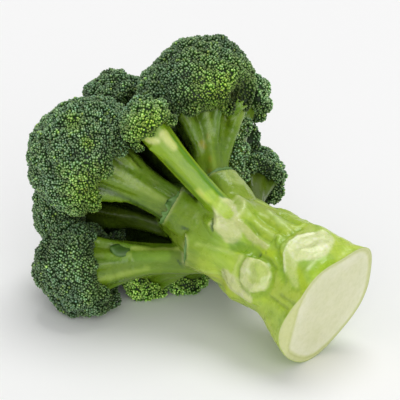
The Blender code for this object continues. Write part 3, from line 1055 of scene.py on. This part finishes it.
def cutOff(mesh):  # gives the outline of the cut, corner by corner
    work = bmesh.new()
    work.from_mesh(mesh)
    for spot, normal in (slantPlane(), knifePlane()):
        sliceOff(work, spot * mm, normal, 1e-6)
    rim = [edge for edge in work.edges if edge.is_boundary]
    loop = [rim[0].verts[0]]
    following = rim[0]
    while True:
        ahead = following.other_vert(loop[-1])
        if ahead is loop[0]:
            break
        loop.append(ahead)
        following = next(edge for edge in ahead.link_edges if edge.is_boundary and edge is not following)
    outline = np.array([vert.co for vert in loop]) / mm
    work.to_mesh(mesh)
    work.free()
    return outline


def stemLines():  # start, end, their radii, the floret's number, and how far along each of them is
    lines = []
    heights = np.linspace(-8, 92, 12)
    for a, b in zip(heights, heights[1:]):
        low, high = trunkSection(a), trunkSection(b)
        ends = (np.array([section[2], section[3], level]) for section, level in ((low, a), (high, b)))
        lines.append((*ends, (low[0] + low[1]) / 2, (high[0] + high[1]) / 2, -1, a, b))
    for index, floret in enumerate(florets):
        for i in range(10):
            a, b = i / 10, (i + 1) / 10
            ends = (np.array(floret.pathPoint(a)), np.array(floret.pathPoint(b)))
            lines.append((*ends, floret.stemRadius(a), floret.stemRadius(b), index, a, b))
    return lines


def nearestBranch(points):
    best = np.full(len(points), 1e9)
    owner = np.full(len(points), -1)
    along = np.zeros(len(points))
    off = np.zeros((len(points), 3))
    run = np.zeros((len(points), 3))
    for start, end, thickA, thickB, index, a, b in stemLines():
        way = end - start
        t = np.clip((points - start) @ way / (way @ way), 0, 1)
        away = points - start - t[:, None] * way
        score = np.linalg.norm(away, axis=1) / (thickA + (thickB - thickA) * t)
        win = score < best
        best[win], owner[win] = score[win], index
        along[win] = (a + (b - a) * t)[win]
        off[win] = away[win]
        run[win] = unit(way) * (np.linalg.norm(way) * t[win] + start @ unit(way))[:, None]
    return owner, along, off, run


skinSpec = {
    "trunk": (165, 191, 56),
    "nearCut": (178, 202, 76),
    "branch": (108, 140, 24),
    "branchTip": (106, 136, 30),
    "paleBranch": (134, 170, 18),
    "scar": (214, 220, 158),
    "scarEdge": (206, 216, 140),
    "behindLip": (44, 74, 40),
    # Painted shade: the tone the stalk darkens to where it lies deep among the branches and domes.
    "deep": (26, 40, 6),
    # Painted shade: the branches deep inside the head, and the back floret's branch, are darkened by these
    # shares.
    "inner": ("floret_end_low", "floret_end_middle", "floret_low_end", "floret_back_inner"),
    "innerShade": 0.38,
    "backShade": 0.55,
    "fibreRelief": 0.30,
    "unevenness": 0.38,
    "stalkRadius": 23.0,  # for turning degrees round the stalk into millimetres
    # Marks on the stalk: colour, strength, how far the skin rises, how softly the mark ends, and its
    # middle line as azimuth, height and half width.
    "marks": (
        # Yellow-green lines that join the scars.
        (
            (172, 198, 22), 0.7, 0.0, 2.5,
            ((-98, 42, 2.4), (-84, 31, 2.2), (-78, 22, 2.0), (-82, 12, 2.0), (-90, 4, 1.8)),
        ),
        ((172, 198, 22), 0.6, 0.0, 2.5, ((-72, 5, 2.2), (-55, 3, 2.2), (-40, 4, 1.6))),
        ((172, 198, 22), 0.5, 0.0, 3.0, ((-130, 20, 2.2), (-118, 8, 2.2))),
        # Pale ribs, partly their own paler colour and partly painted highlights along their crests.
        ((200, 220, 138), 0.6, 0.9, 2.6, ((-36, 46, 0.9), (-42, 36, 1.3), (-46, 29, 0.6))),
        ((194, 216, 126), 0.6, 0.8, 2.4, ((-22, 56, 0.7), (-20, 42, 1.0), (-14, 32, 0.6))),
        ((200, 220, 136), 0.6, 0.7, 2.0, ((-60, 44, 0.6), (-62, 36, 0.9), (-61, 29, 0.4))),
        ((192, 212, 116), 0.55, 0.7, 2.2, ((-120, 62, 0.6), (-112, 52, 0.9), (-106, 44, 0.4))),
        ((190, 212, 120), 0.5, 0.6, 2.2, ((-150, 56, 0.6), (-142, 42, 0.9), (-136, 30, 0.4))),
        ((186, 210, 112), 0.5, 0.6, 2.4, ((20, 30, 0.8), (24, 14, 1.0))),
        ((190, 212, 120), 0.5, 0.6, 2.4, ((120, 60, 0.8), (128, 40, 1.0), (124, 24, 0.6))),
        # Green furrows between them.
        ((118, 158, 46), 0.7, -0.8, 2.0, ((-98, 46, 2.8), (-95, 40, 2.8), (-90, 35, 2.0))),
        ((138, 174, 26), 0.6, -0.9, 2.4, ((-28, 42, 1.2), (-31, 32, 1.0))),
        ((138, 174, 26), 0.6, -0.9, 2.4, ((-50, 48, 1.0), (-52, 38, 1.2), (-55, 31, 0.8))),
        ((138, 174, 26), 0.5, -0.8, 2.4, ((-8, 52, 1.2), (-6, 34, 1.2))),
        # The round scar at the left, and its flank.
        ((138, 172, 32), 0.7, -0.6, 1.8, ((-112, 29.4, 10.0), (-112, 29, 10.0))),
        ((216, 222, 156), 0.85, 0.9, 1.4, ((-114, 30.4, 7.4), (-112, 28.6, 7.2))),
        ((186, 204, 104), 0.9, -0.8, 1.6, ((-109, 29.2, 4.6), (-107, 27.4, 4.0))),
        # A painted highlight low inside the round scar.
        ((216, 228, 164), 0.7, 0.3, 1.0, ((-112, 24, 1.2), (-105, 22.8, 1.0))),
        ((222, 230, 176), 0.7, 0.2, 1.6, ((-114, 32, 1.2), (-112, 34, 1.0))),
        ((206, 212, 148), 0.9, 0.2, 1.4, ((-139, 43, 4.2), (-143, 37, 6.2), (-140, 30, 3.8))),
        ((150, 180, 52), 0.6, -0.4, 1.2, ((-130, 38, 0.5), (-132, 32, 0.7), (-129, 25, 0.5))),
        ((132, 166, 26), 0.7, -0.5, 1.0, ((-93, 35, 0.9), (-90, 29, 0.9), (-93, 22, 0.8))),
        # The swelling below the scar nearest the cut, that scar, and its tail.
        ((150, 190, 30), 0.5, 1.5, 6.0, ((-58, 6, 4.6), (-70, 7, 4.0))),
        # A painted highlight on the swelling.
        ((216, 232, 168), 0.6, 0.3, 2.0, ((-62, 10, 1.0), (-72, 9, 0.8))),
        ((134, 172, 30), 0.6, -0.6, 1.8, ((-36, 28, 1.0), (-56, 29, 1.0), (-80, 26, 1.0), (-98, 15, 0.8))),
        (
            (206, 218, 138), 0.7, -0.1, 2.2,
            ((-60, 19.5, 4.8), (-72, 19.5, 3.4), (-84, 15.5, 2.4), (-92, 10, 1.2)),
        ),
        ((220, 226, 168), 0.92, -0.2, 1.6, ((-38, 16.0, 5.6), (-49, 16.5, 8.0), (-60, 18.5, 5.8))),
        # A painted highlight along the scar's upper rim.
        (
            (240, 242, 204), 0.7, 0.5, 1.2,
            ((-35, 22.0, 0.4), (-48, 24.8, 0.7), (-62, 24.6, 0.6), (-76, 22.4, 0.4), (-88, 18, 0.4)),
        ),
        # A painted highlight along the scar's lower rim.
        ((236, 238, 196), 0.6, 0.4, 1.2, ((-36, 12.4, 0.5), (-47, 11.4, 0.6), (-58, 13.4, 0.4))),
        ((198, 206, 138), 0.6, -0.3, 2.0, ((-38, 15, 1.6), (-50, 17, 1.4))),
        ((206, 216, 146), 0.6, 0.0, 2.0, ((-62, 18, 1.0), (-72, 19, 1.0))),
        # Pale facets higher up.
        ((204, 210, 146), 0.9, 0.2, 1.8, ((-66, 60, 4.6), (-78, 56, 6.2), (-88, 50, 4.8))),
        ((174, 192, 108), 0.7, 0.0, 2.6, ((-16, 86, 5.0), (-18, 72, 5.6))),
        ((126, 150, 48), 0.5, 0.0, 2.6, ((-140, 76, 4.6), (-140, 64, 5.0))),
        ((220, 228, 162), 0.7, 0.4, 1.4, ((-54, 61, 1.0), (-66, 62.5, 1.1), (-78, 61, 0.7), (-90, 56, 0.7))),
        ((190, 196, 126), 0.85, 0.7, 1.2, ((-74, 49, 1.7), (-78, 41, 1.9), (-79, 33, 1.5))),
        ((128, 160, 36), 0.6, -0.5, 1.4, ((-66, 48, 0.6), (-70, 40, 0.8), (-71, 33, 0.6))),
        # Dark slits and specks; a slit's darkness is painted shade in its groove.
        ((50, 82, 50), 0.8, -0.7, 1.2, ((-84, 62, 0.4), (-90, 60, 0.9), (-96, 58, 0.4))),
        ((74, 96, 44), 0.8, 0.0, 0.9, ((-90, 33, 0.55), (-89.5, 33, 0.5))),
        ((74, 96, 44), 0.8, 0.0, 0.9, ((-85, 31, 0.45), (-84.5, 31, 0.4))),
        ((116, 140, 40), 0.5, -0.3, 1.0, ((-112, 14, 0.8), (-108, 4, 0.6))),
        ((116, 140, 40), 0.5, -0.3, 1.0, ((-122, 18, 0.7), (-118, 8, 0.6))),
    ),
    # Marks on the branches, by floret: colour, strength, and the middle line as place along, degrees
    # round from the side that faces the front, and half width.
    "branchMarks": {
        "floret_small_front": (
            ((84, 136, 14), 0.85, ((0.84, 48, 1.4), (0.62, 52, 2.0), (0.34, 50, 1.5))),
            ((208, 216, 128), 0.85, ((0.93, -40, 1.9), (0.88, -15, 1.4))),
            ((204, 212, 120), 0.85, ((0.88, 22, 2.2), (0.78, 24, 1.4))),
            ((196, 208, 92), 0.7, ((0.46, -30, 1.6), (0.38, -22, 1.2))),
            ((172, 204, 26), 0.7, ((0.40, 0, 2.4), (0.02, 5, 2.8))),
            ((96, 132, 30), 0.7, ((0.74, -60, 1.6), (0.40, -66, 1.4))),
        ),
        "floret_upper": (
            ((158, 150, 30), 0.7, ((0.66, -16, 1.4), (0.63, -10, 1.0))),
            ((160, 146, 30), 0.7, ((0.73, 6, 0.8), (0.71, 6, 0.7))),
            ((152, 140, 30), 0.7, ((0.52, 4, 0.8), (0.50, 4, 0.6))),
            ((150, 140, 34), 0.6, ((0.40, -8, 0.9), (0.38, -8, 0.7))),
            # Painted shade: a dark band down one side of the branch.
            ((58, 88, 22), 0.8, ((1.0, -46, 2.4), (0.7, -58, 2.6), (0.3, -70, 1.8))),
            ((138, 168, 48), 0.7, ((0.98, 14, 1.6), (0.62, 14, 1.2), (0.3, 10, 1.0))),
            ((84, 116, 30), 0.6, ((0.98, -8, 0.9), (0.72, -2, 0.7))),
            ((78, 110, 28), 0.6, ((0.95, 40, 1.0), (0.5, 44, 0.8))),
        ),
        "floret_front": (
            ((148, 172, 74), 0.7, ((0.96, -6, 2.4), (0.62, 0, 1.8), (0.3, 0, 1.2))),
            ((150, 176, 66), 0.6, ((0.95, 40, 1.2), (0.5, 40, 1.0))),
            # Painted shade: a dark band down one side of the branch.
            ((58, 86, 26), 0.8, ((1.0, -46, 1.0), (0.6, -58, 1.3), (0.2, -66, 1.2))),
            ((70, 98, 28), 0.6, ((1.0, 20, 0.6), (0.7, 18, 0.5))),
        ),
        "floret_low_front": (
            # A painted highlight along the branch's upper edge.
            ((180, 200, 96), 0.8, ((0.66, 44, 1.0), (0.45, 46, 1.1), (0.15, 46, 0.9))),
            ((196, 206, 118), 0.8, ((0.70, 30, 1.0), (0.66, 10, 0.8))),
            ((84, 124, 26), 0.6, ((0.92, 10, 1.3), (0.5, 6, 1.0))),
            ((158, 182, 72), 0.6, ((0.95, -34, 1.4), (0.55, -30, 1.1))),
            ((124, 162, 36), 0.6, ((0.84, 22, 2.2), (0.40, 16, 2.4))),
            # Painted shade in the crease where the branch meets the trunk.
            ((52, 78, 26), 0.85, ((0.06, 40, 0.7), (0.0, -10, 0.8), (0.04, -50, 0.7))),
        ),
    },
}


def markShares(azimuth, height, soft, line, wander):
    best = np.full(len(azimuth), -1e9)
    unrolled = math.radians(skinSpec["stalkRadius"])
    for (fromA, fromH, fromR), (toA, toH, toR) in zip(line, line[1:]):
        across = (azimuth - fromA + 180) % 360 - 180
        u, v = across * unrolled, height - fromH
        runU, runV = (toA - fromA) * unrolled, toH - fromH
        t = np.clip((u * runU + v * runV) / max(runU**2 + runV**2, 1e-6), 0, 1)
        best = np.maximum(best, fromR + (toR - fromR) * t - np.hypot(u - runU * t, v - runV * t))
    share = np.clip((best + wander) / soft + 0.5, 0, 1)
    return share * share * (3 - 2 * share)


def branchShares(points, owner, floret, line):
    stops = []
    for t, turn, wide in line:
        way = (floret.pathPoint(min(1, t + 0.02)) - floret.pathPoint(t - 0.02)).normalized()
        front, aside = sidesOf(way)
        turn = math.radians(turn)
        out = front * math.cos(turn) + aside * math.sin(turn)
        stops.append((np.array(floret.pathPoint(t) + out * floret.stemRadius(t)), wide))
    best = np.full(len(points), -1e9)
    for (start, fromR), (end, toR) in zip(stops, stops[1:]):
        way = end - start
        t = np.clip((points - start) @ way / max(way @ way, 1e-6), 0, 1)
        distance = np.linalg.norm(points - start - t[:, None] * way, axis=1)
        best = np.maximum(best, fromR + (toR - fromR) * t - distance)
    share = np.clip((best + 0.5 * smoothNoise(points, 0.7, 33)) / 1.5 + 0.5, 0, 1)
    return share * ((owner == floret.seed) | (best > 0))


def lipMarks(points):  # the scars of the leaf stalks, their edges, and the shade behind the lips
    scar, edge, behind = np.zeros((3, len(points)))
    for row in footSpec["rows"]:
        out, side, along, away, middle, lipPoint, normal = (np.array(v) for v in footFrame(row))
        halfWidth, scarShare, edgeShare, shadeShare = row[2], *row[6:]
        rel, fromLip = points - middle, points - lipPoint
        inside = np.sqrt(
            (rel @ away / footSpec["thickness"]) ** 2 + (rel @ side / halfWidth) ** 2
            + (rel @ along / footSpec["length"]) ** 2
        )
        height, outward = fromLip @ normal, fromLip @ out
        near = np.exp(-((height / 0.9) ** 2)) * (outward > -1.5) * (np.abs(height) < 2.5)
        scar = np.maximum(scar, scarShare * near * np.clip((1.02 - inside) / 0.06, 0, 1))
        edge = np.maximum(edge, edgeShare * near * np.exp(-(((inside - 1.0) / 0.07) ** 2)))
        shaded = np.exp(-(((fromLip @ along - 2.6) / 2.2) ** 2)) * (np.abs(rel @ side) < halfWidth)
        shaded *= (inside > 1.0) * (outward < 1.5) * (outward > -9)
        behind = np.maximum(behind, shaded * shadeShare)
    return scar, edge, behind


def openness(points, normals, own):  # from 0 deep among the branches to 1 in the open
    spots, index = np.unique(np.round(points / 1.3).astype(int), axis=0, return_inverse=True)
    index = index.reshape(-1)
    share = np.bincount(index)
    places = np.stack([np.bincount(index, points[:, c]) / share for c in range(3)], axis=1)
    facing = unit(np.stack([np.bincount(index, normals[:, c]) / share for c in range(3)], axis=1))
    rays = evenDirections(26)
    trees = [own] + [BVHTree.FromPolygons(form.tolist(), faces.tolist()) for form, faces in shadeForms]
    found = np.ones(len(places))
    for i in range(len(places)):
        spot = Vector(places[i] + facing[i] * 1.2)
        free = tried = 0
        for ray in rays:
            if ray @ facing[i] < 0.2:
                continue
            tried += 1
            free += all(tree.ray_cast(spot, Vector(ray), 60)[0] is None for tree in trees)
        found[i] = free / max(tried, 1)
    return found[index]


def azimuthsOf(points):
    levels = np.linspace(-8, 101.9, 80)
    sections = np.array([trunkSection(level) for level in levels])
    heights = np.clip(points[:, 2], -8, 101)
    shiftX, shiftY = (np.interp(heights, levels, sections[:, c]) for c in (2, 3))
    return np.degrees(np.arctan2(points[:, 1] - shiftY, points[:, 0] - shiftX))


def skinColours(points, owner, along, height, marks, lips, air):
    def tone(name):
        return linear(*skinSpec[name])

    def seedOf(name):
        return floretNamed[name].seed

    onTrunk = owner < 0
    trunk = blendRows(tone("trunk"), tone("nearCut"), np.clip(1 - height / 26, 0, 1))
    branch = blendRows(tone("branch"), tone("branchTip"), along)
    branch = np.where((owner == seedOf("floret_small_front"))[:, None], tone("paleBranch"), branch)
    colour = np.where(onTrunk[:, None], trunk, branch)
    colour = blendRows(colour, tone("branch"), np.clip((height - 50) / 26, 0, 1) * onTrunk)
    # Painted shade on the branches deep inside the head and on the back floret's branch.
    inner = np.isin(owner, [seedOf(name) for name in skinSpec["inner"]]) & (along > 0.12)
    colour[inner] *= skinSpec["innerShade"]
    colour[owner == seedOf("floret_back")] *= skinSpec["backShade"]
    colour *= (1 + 0.20 * smoothNoise(points, 0.14, 11))[:, None]
    colour *= 1 + smoothNoise(points, 0.24, 12)[:, None] * np.array([[0.14, 0.02, -0.25]])
    scar, edge, behind = lips
    for share, name in ((edge * 0.6, "scarEdge"), (scar, "scar"), (behind * 0.75, "behindLip")):
        colour = blendRows(colour, tone(name), share)
    for (mark, strength, _, _, _), share in zip(skinSpec["marks"], marks):
        colour = blendRows(colour, linear(*mark), share * strength)
    for name, rows in skinSpec["branchMarks"].items():
        for mark, strength, line in rows:
            share = branchShares(points, owner, floretNamed[name], line)
            colour = blendRows(colour, linear(*mark), share * strength)
    # Painted shade: darker towards the deep tone where little open sky reaches the stalk, less on the low
    # front floret's branch.
    depth = np.clip((0.56 - air) / 0.52, 0, 1) ** 1.1
    depth[owner == seedOf("floret_low_front")] *= 0.5
    return blendRows(colour, tone("deep"), depth)


def treeOf(mesh, points):
    corners = np.empty(len(mesh.loops), np.int32)
    mesh.loops.foreach_get("vertex_index", corners)
    starts = np.empty(len(mesh.polygons), np.int32)
    mesh.polygons.foreach_get("loop_start", starts)
    return BVHTree.FromPolygons(points.tolist(), [face.tolist() for face in np.split(corners, starts[1:])])


def addStalk(finish, cutMaterial):
    mesh = roughStalk()
    outline = cutOff(mesh)
    points = readVertices(mesh, "co") / mm
    normals = readVertices(mesh, "normal")
    owner, along, off, run = nearestBranch(points)
    azimuth, height = azimuthsOf(points), points[:, 2]
    lips = lipMarks(points)
    onTrunk = (owner < 0) | (height < 66)
    wander = 0.55 * smoothNoise(points, 0.75, 31)
    marks = [
        markShares(azimuth, height, soft, line, wander) * onTrunk
        for _, _, _, soft, line in skinSpec["marks"]
    ]
    rise = sum(share * mark[2] for share, mark in zip(marks, skinSpec["marks"]))
    rise += skinSpec["unevenness"] * smoothNoise(points, 0.30, 32) * onTrunk
    swell = skinSpec["fibreRelief"] * smoothNoise(off + run * 0.12, 0.7, 3) + rise + lips[1] * 0.25
    planes = (knifePlane(), slantPlane())
    nearCut = np.minimum(*(np.abs((points - spot) @ normal) for spot, normal in planes))
    skin = points + normals * (swell * (1 - np.clip(1 - nearCut / 1.2, 0, 1)))[:, None]
    world = toWorld(skin) / mm
    print("stalk shaped")
    air = openness(world, normals @ layDown.T, treeOf(mesh, world))
    layMesh(mesh, skin, skinColours(skin, owner, along, height, marks, lips, air))
    layer = mesh.attributes.new("grain", "FLOAT_VECTOR", "POINT")
    layer.data.foreach_set("vector", ((off + run * 0.26) * mm).astype(np.float32).ravel())
    place("stalkSkin", mesh, finish, "stalk", "stalk")
    addCutFace(outline, cutMaterial)
    return len(points)


# The frilled edges of the cut leaf stalks, and small leaves on the branches.
leafSpec = {
    # The foot's row, how far round its lip at each end, height, and number of frills.
    "frills": (
        (4, -0.98, 0.70, 2.8, 13),
        (3, -0.8, 0.8, 1.0, 9),
        (5, -0.98, 0.1, 1.6, 6),
        (9, -0.8, 0.8, 1.6, 9),
    ),
    # Floret, place along, degrees round, length, width, and how far it lifts.
    "leaves": (
        ("floret_low_front", 0.68, 34, 8.5, 5.5, 2.6),
        ("floret_upper", 0.20, -58, 9.0, 4.5, 1.4),
    ),
    "thick": 0.55,
    "wave": 0.85,
    "low": (72, 108, 34),
    "high": (104, 142, 74),
    "veinScale": 700.0,
    "veinTone": linear(170, 200, 150),
    "sockets": {"Roughness": 0.42},
}


def makeLeafFinish():
    made, tree, shader = newFinish("leafEdge", leafSpec["sockets"])
    veins = spread(tree, noiseOf(tree, spotOf(tree), leafSpec["veinScale"]), 0.4, 0.7, 0.0, 0.5)
    colour = blendColours(tree, "MULTIPLY", veins, tintOf(tree), (*leafSpec["veinTone"], 1))
    tree.links.new(colour, shader.inputs["Base Color"])
    return made


def addSheet(work, grid):
    grid = np.asarray(grid)
    facing = unit(np.cross(np.gradient(grid, axis=0), np.gradient(grid, axis=1))) * leafSpec["thick"] / 2
    rows, columns = grid.shape[:2]
    front, back = (
        [[work.verts.new(Vector(corner)) for corner in line] for line in side]
        for side in (grid + facing, grid - facing)
    )
    for i in range(rows - 1):
        for j in range(columns - 1):
            work.faces.new((front[i][j], front[i + 1][j], front[i + 1][j + 1], front[i][j + 1]))
            work.faces.new((back[i][j], back[i][j + 1], back[i + 1][j + 1], back[i + 1][j]))
    rim = [(i, 0) for i in range(rows)] + [(rows - 1, j) for j in range(1, columns)]
    rim += [(i, columns - 1) for i in range(rows - 2, -1, -1)] + [(0, j) for j in range(columns - 2, 0, -1)]
    for (a, b), (c, d) in zip(rim, rim[1:] + rim[:1]):
        work.faces.new((front[a][b], back[a][b], back[c][d], front[c][d]))


def frillGrid(index, start, end, height, frills, draw):
    row = footSpec["rows"][index]
    out, side, along, away, middle, lipPoint, normal = (np.array(v) for v in footFrame(row))
    inPlane = unit(out - normal * (out @ normal))
    sizes = np.array([footSpec["thickness"], row[2], footSpec["length"]])
    axes = np.stack([away, side, along])
    knots = np.linspace(start, end, frills)
    waves, talls = draw.uniform(-1, 1, frills), draw.uniform(0.35, 1.25, frills)
    grid = []
    for s in np.linspace(start, end, 60):
        foot = lipPoint + side * row[2] * 0.97 * s - middle
        a, b = axes @ foot / sizes, axes @ inPlane / sizes  # the foot is round in these measures
        root = (a @ b) ** 2 - (b @ b) * (a @ a - 1)
        reach = (-(a @ b) + math.sqrt(max(root, 0))) / (b @ b)
        edge = foot + middle + inPlane * (reach - 0.7)
        fade = max(0.12, math.sin(math.pi * (s - start) / (end - start))) ** 0.5
        wave, tall = np.interp(s, knots, waves), height * fade * np.interp(s, knots, talls)
        up = normal * tall + inPlane * wave * leafSpec["wave"] * tall
        grid.append([edge - normal * 1.2, edge, edge + up * 0.5 + inPlane * 0.2 * wave, edge + up])
    return grid


def leafGrid(name, t, turn, length, width, lift):
    floret = floretNamed[name]
    way = (floret.pathPoint(t) - floret.pathPoint(t - 0.04)).normalized()
    front, aside = sidesOf(way)
    grid = []
    for u in np.linspace(0, 1, 9):
        wide = width * 0.5 * max(0.16, math.sin(math.pi * (0.12 + 0.83 * u)) ** 0.7)
        middle = floret.pathPoint(min(1, t + 0.03 * u)) + way * length * u * 0.7
        line = []
        for v in np.linspace(-1, 1, 7):
            angle = math.radians(turn) + v * wide / floret.stemRadius(t)
            out = front * math.cos(angle) + aside * math.sin(angle)
            curl = lift * (u**1.5) * (1 - 0.5 * v * v) + 0.25 * math.sin(7 * u + 3 * v)
            line.append(np.array(middle + out * (floret.stemRadius(min(1, t + 0.1 * u)) + 0.9 * u + curl)))
        grid.append(line)
    return grid


def addLeafEdges(finish):
    draw = np.random.default_rng(61)
    work = bmesh.new()
    shares = []
    for row in leafSpec["frills"]:
        grid = frillGrid(*row, draw)
        addSheet(work, grid)
        shares += [0.0, 0.2, 0.7, 1.0] * (2 * len(grid))
    for row in leafSpec["leaves"]:
        grid = leafGrid(*row)
        addSheet(work, grid)
        shares += [0.35 * abs(v) - 0.1 for v in np.linspace(-1, 1, 7)] * (2 * len(grid))
    bmesh.ops.recalc_face_normals(work, faces=work.faces)
    mesh = bpy.data.meshes.new("leafEdges")
    work.to_mesh(mesh)
    work.free()
    points = readVertices(mesh, "co")
    colour = blendRows(linear(*leafSpec["low"]), linear(*leafSpec["high"]), np.array(shares))
    layMesh(mesh, points, colour * (1 + 0.25 * smoothNoise(points, 0.5, 62))[:, None])
    place("leafEdges", mesh, finish, "stalk", "stalk")


cutSpec = {
    "rings": 40,
    "skin": (160, 188, 56),
    "heart": (218, 218, 182),
    "rim": (1.1, 1.5),  # how wide the pale rim is, and how much wider towards the left
    "dish": 0.5,
    # Millimetres inwards from the inner edge of the rim, and the tone there.
    "tones": (
        (-7.5, (206, 216, 116)),
        (-4.0, (206, 210, 150)),
        (-0.6, (206, 210, 150)),
        (0.0, (190, 195, 128)),
        (0.6, (206, 210, 150)),
        (1.8, (226, 226, 196)),
        (8.0, (218, 218, 182)),
    ),
}


def discFaces(rings, around):  # faces between the rings, and a fan to the last point
    spoke = np.arange(around)
    after = (spoke + 1) % around
    quads = [
        np.stack([first + spoke, first + after, first + after + around, first + spoke + around], axis=1)
        for first in np.arange(rings - 1) * around
    ]
    last = (rings - 1) * around
    fan = np.stack([last + spoke, last + after, np.full(around, rings * around)], axis=1)
    return np.concatenate([np.concatenate(quads).ravel(), fan.ravel()]), np.repeat([4, 3], [last, around])


def addCutFace(outline, finish):
    spot, normal = knifePlane()
    slantSpot, slantNormal = slantPlane()
    flat = outline - np.outer((outline - spot) @ normal, normal)
    middle = flat.mean(axis=0)
    spokes = flat - middle
    reach = np.linalg.norm(spokes, axis=1)
    towardsLeft = np.clip(unit(spokes) @ unit(-viewRight - 0.35 * viewUp), 0, 1)
    rim = cutSpec["rim"][0] + cutSpec["rim"][1] * towardsLeft + 0.3 * smoothNoise(flat, 0.12, 41)
    crease = unit(slantNormal - normal * (slantNormal @ normal))
    toneStops = np.array([stop for stop, tone in cutSpec["tones"]])
    tones = np.array([linear(*tone) for stop, tone in cutSpec["tones"]])
    points, colours = [], []
    for share in 1 - (np.arange(cutSpec["rings"]) / cutSpec["rings"]) ** 1.3:
        ring = middle + spokes * share
        over = np.maximum(0, (ring - slantSpot) @ slantNormal)
        fromRim = (1 - share) * reach
        inner = np.minimum(fromRim - rim, -(ring - slantSpot) @ crease)
        dish = -cutSpec["dish"] * (1 - share**2) * np.clip(fromRim / 0.8, 0, 1)
        dish += 0.2 * np.exp(-((inner / 0.6) ** 2)) * (share < 1)
        points.append(ring + normal * (dish * 0.6 - over / (normal @ slantNormal))[:, None])
        tone = np.stack([np.interp(inner, toneStops, tones[:, c]) for c in range(3)], axis=1)
        colours.append(blendRows(tone, linear(*cutSpec["skin"]), np.clip(1 - fromRim / 0.35, 0, 1)))
    points.append(middle[None] + normal * -0.3)
    colours.append(linear(*cutSpec["heart"])[None])
    loops, sizes = discFaces(cutSpec["rings"], len(outline))
    mesh = quickMesh("cutFace", aboveFloor(np.concatenate(points)), loops, sizes, np.concatenate(colours))
    place("cutFace", mesh, finish, "stalk", "stalk")


studioSpec = {
    "floor": (246, 246, 246),
    "floorClouds": 0.97,  # of the floor's own tone
    "floorFlat": 1.2,  # metres round the head
    "floorReach": 4.0,
    "floorRise": 0.52,
    "floorSides": 72,
    "sockets": {"Roughness": 0.9, "Specular IOR Level": 0.1},
    "world": 0.49,
    "suns": {
        "keyLight": {"from": (-0.10, 0.30, 1.0), "strength": 1.20, "softness": 34},
        "fillLight": {"from": (1.0, -0.75, 0.6), "strength": 1.16, "softness": 50},
    },
}


def addFloor():  # flat round the head, and rising gently far away from it
    work = bmesh.new()
    flat, reachMost, sides = studioSpec["floorFlat"], studioSpec["floorReach"], studioSpec["floorSides"]
    middle = work.verts.new((0, 0, 0))
    rings = []
    for reach in (0.4, 0.8, 1.2, *np.linspace(1.4, reachMost, 14)):
        high = studioSpec["floorRise"] * max(0.0, (reach - flat) / (reachMost - flat)) ** 2
        turns = [2 * math.pi * k / sides for k in range(sides)]
        rings.append([work.verts.new((reach * math.cos(a), reach * math.sin(a), high)) for a in turns])
    for k in range(sides):
        after = (k + 1) % sides
        work.faces.new((middle, rings[0][k], rings[0][after]))
        for low, high in zip(rings, rings[1:]):
            work.faces.new((low[k], high[k], high[after], low[after]))
    mesh = bpy.data.meshes.new("floor")
    work.to_mesh(mesh)
    work.free()
    mesh.polygons.foreach_set("use_smooth", np.ones(len(mesh.polygons), bool))
    floor = bpy.data.objects.new("floor", mesh)
    bpy.context.scene.collection.objects.link(floor)
    made, tree, shader = newFinish("paleFloor", studioSpec["sockets"])
    clouds = spread(tree, noiseOf(tree, spotOf(tree), 2.0), 0.3, 0.7, 0.0, 0.04)
    pale = linear(*studioSpec["floor"])
    colour = blendColours(tree, "MIX", clouds, (*pale, 1), (*(studioSpec["floorClouds"] * pale), 1))
    tree.links.new(colour, shader.inputs["Base Color"])
    mesh.materials.append(made)


def addLights():
    world = bpy.data.worlds.new("studio")
    bpy.context.scene.world = world
    world.use_nodes = True
    world.node_tree.nodes["Background"].inputs["Color"].default_value = (1, 1, 1, 1)
    world.node_tree.nodes["Background"].inputs["Strength"].default_value = studioSpec["world"]
    for name, spec in studioSpec["suns"].items():
        data = bpy.data.lights.new(name, "SUN")
        data.energy = spec["strength"]
        data.angle = math.radians(spec["softness"])
        sun = bpy.data.objects.new(name, data)
        bpy.context.scene.collection.objects.link(sun)
        sun.rotation_euler = Vector(spec["from"]).to_track_quat("Z", "Y").to_euler()
    bpy.context.scene.view_settings.view_transform = "Standard"


addFloor()
addLights()
print("floor and lights set")
budMaterial = makeBudFinish()
print("buds set:", sum(addFloret(floret, budMaterial) for floret in florets))
print("stalk grown:", addStalk(makeSkinFinish(), makeCutFinish()), "points")
addLeafEdges(makeLeafFinish())
print("leaf edges set")

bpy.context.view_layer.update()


def plain(box):
    return [[float(value) for value in corner] for corner in box]
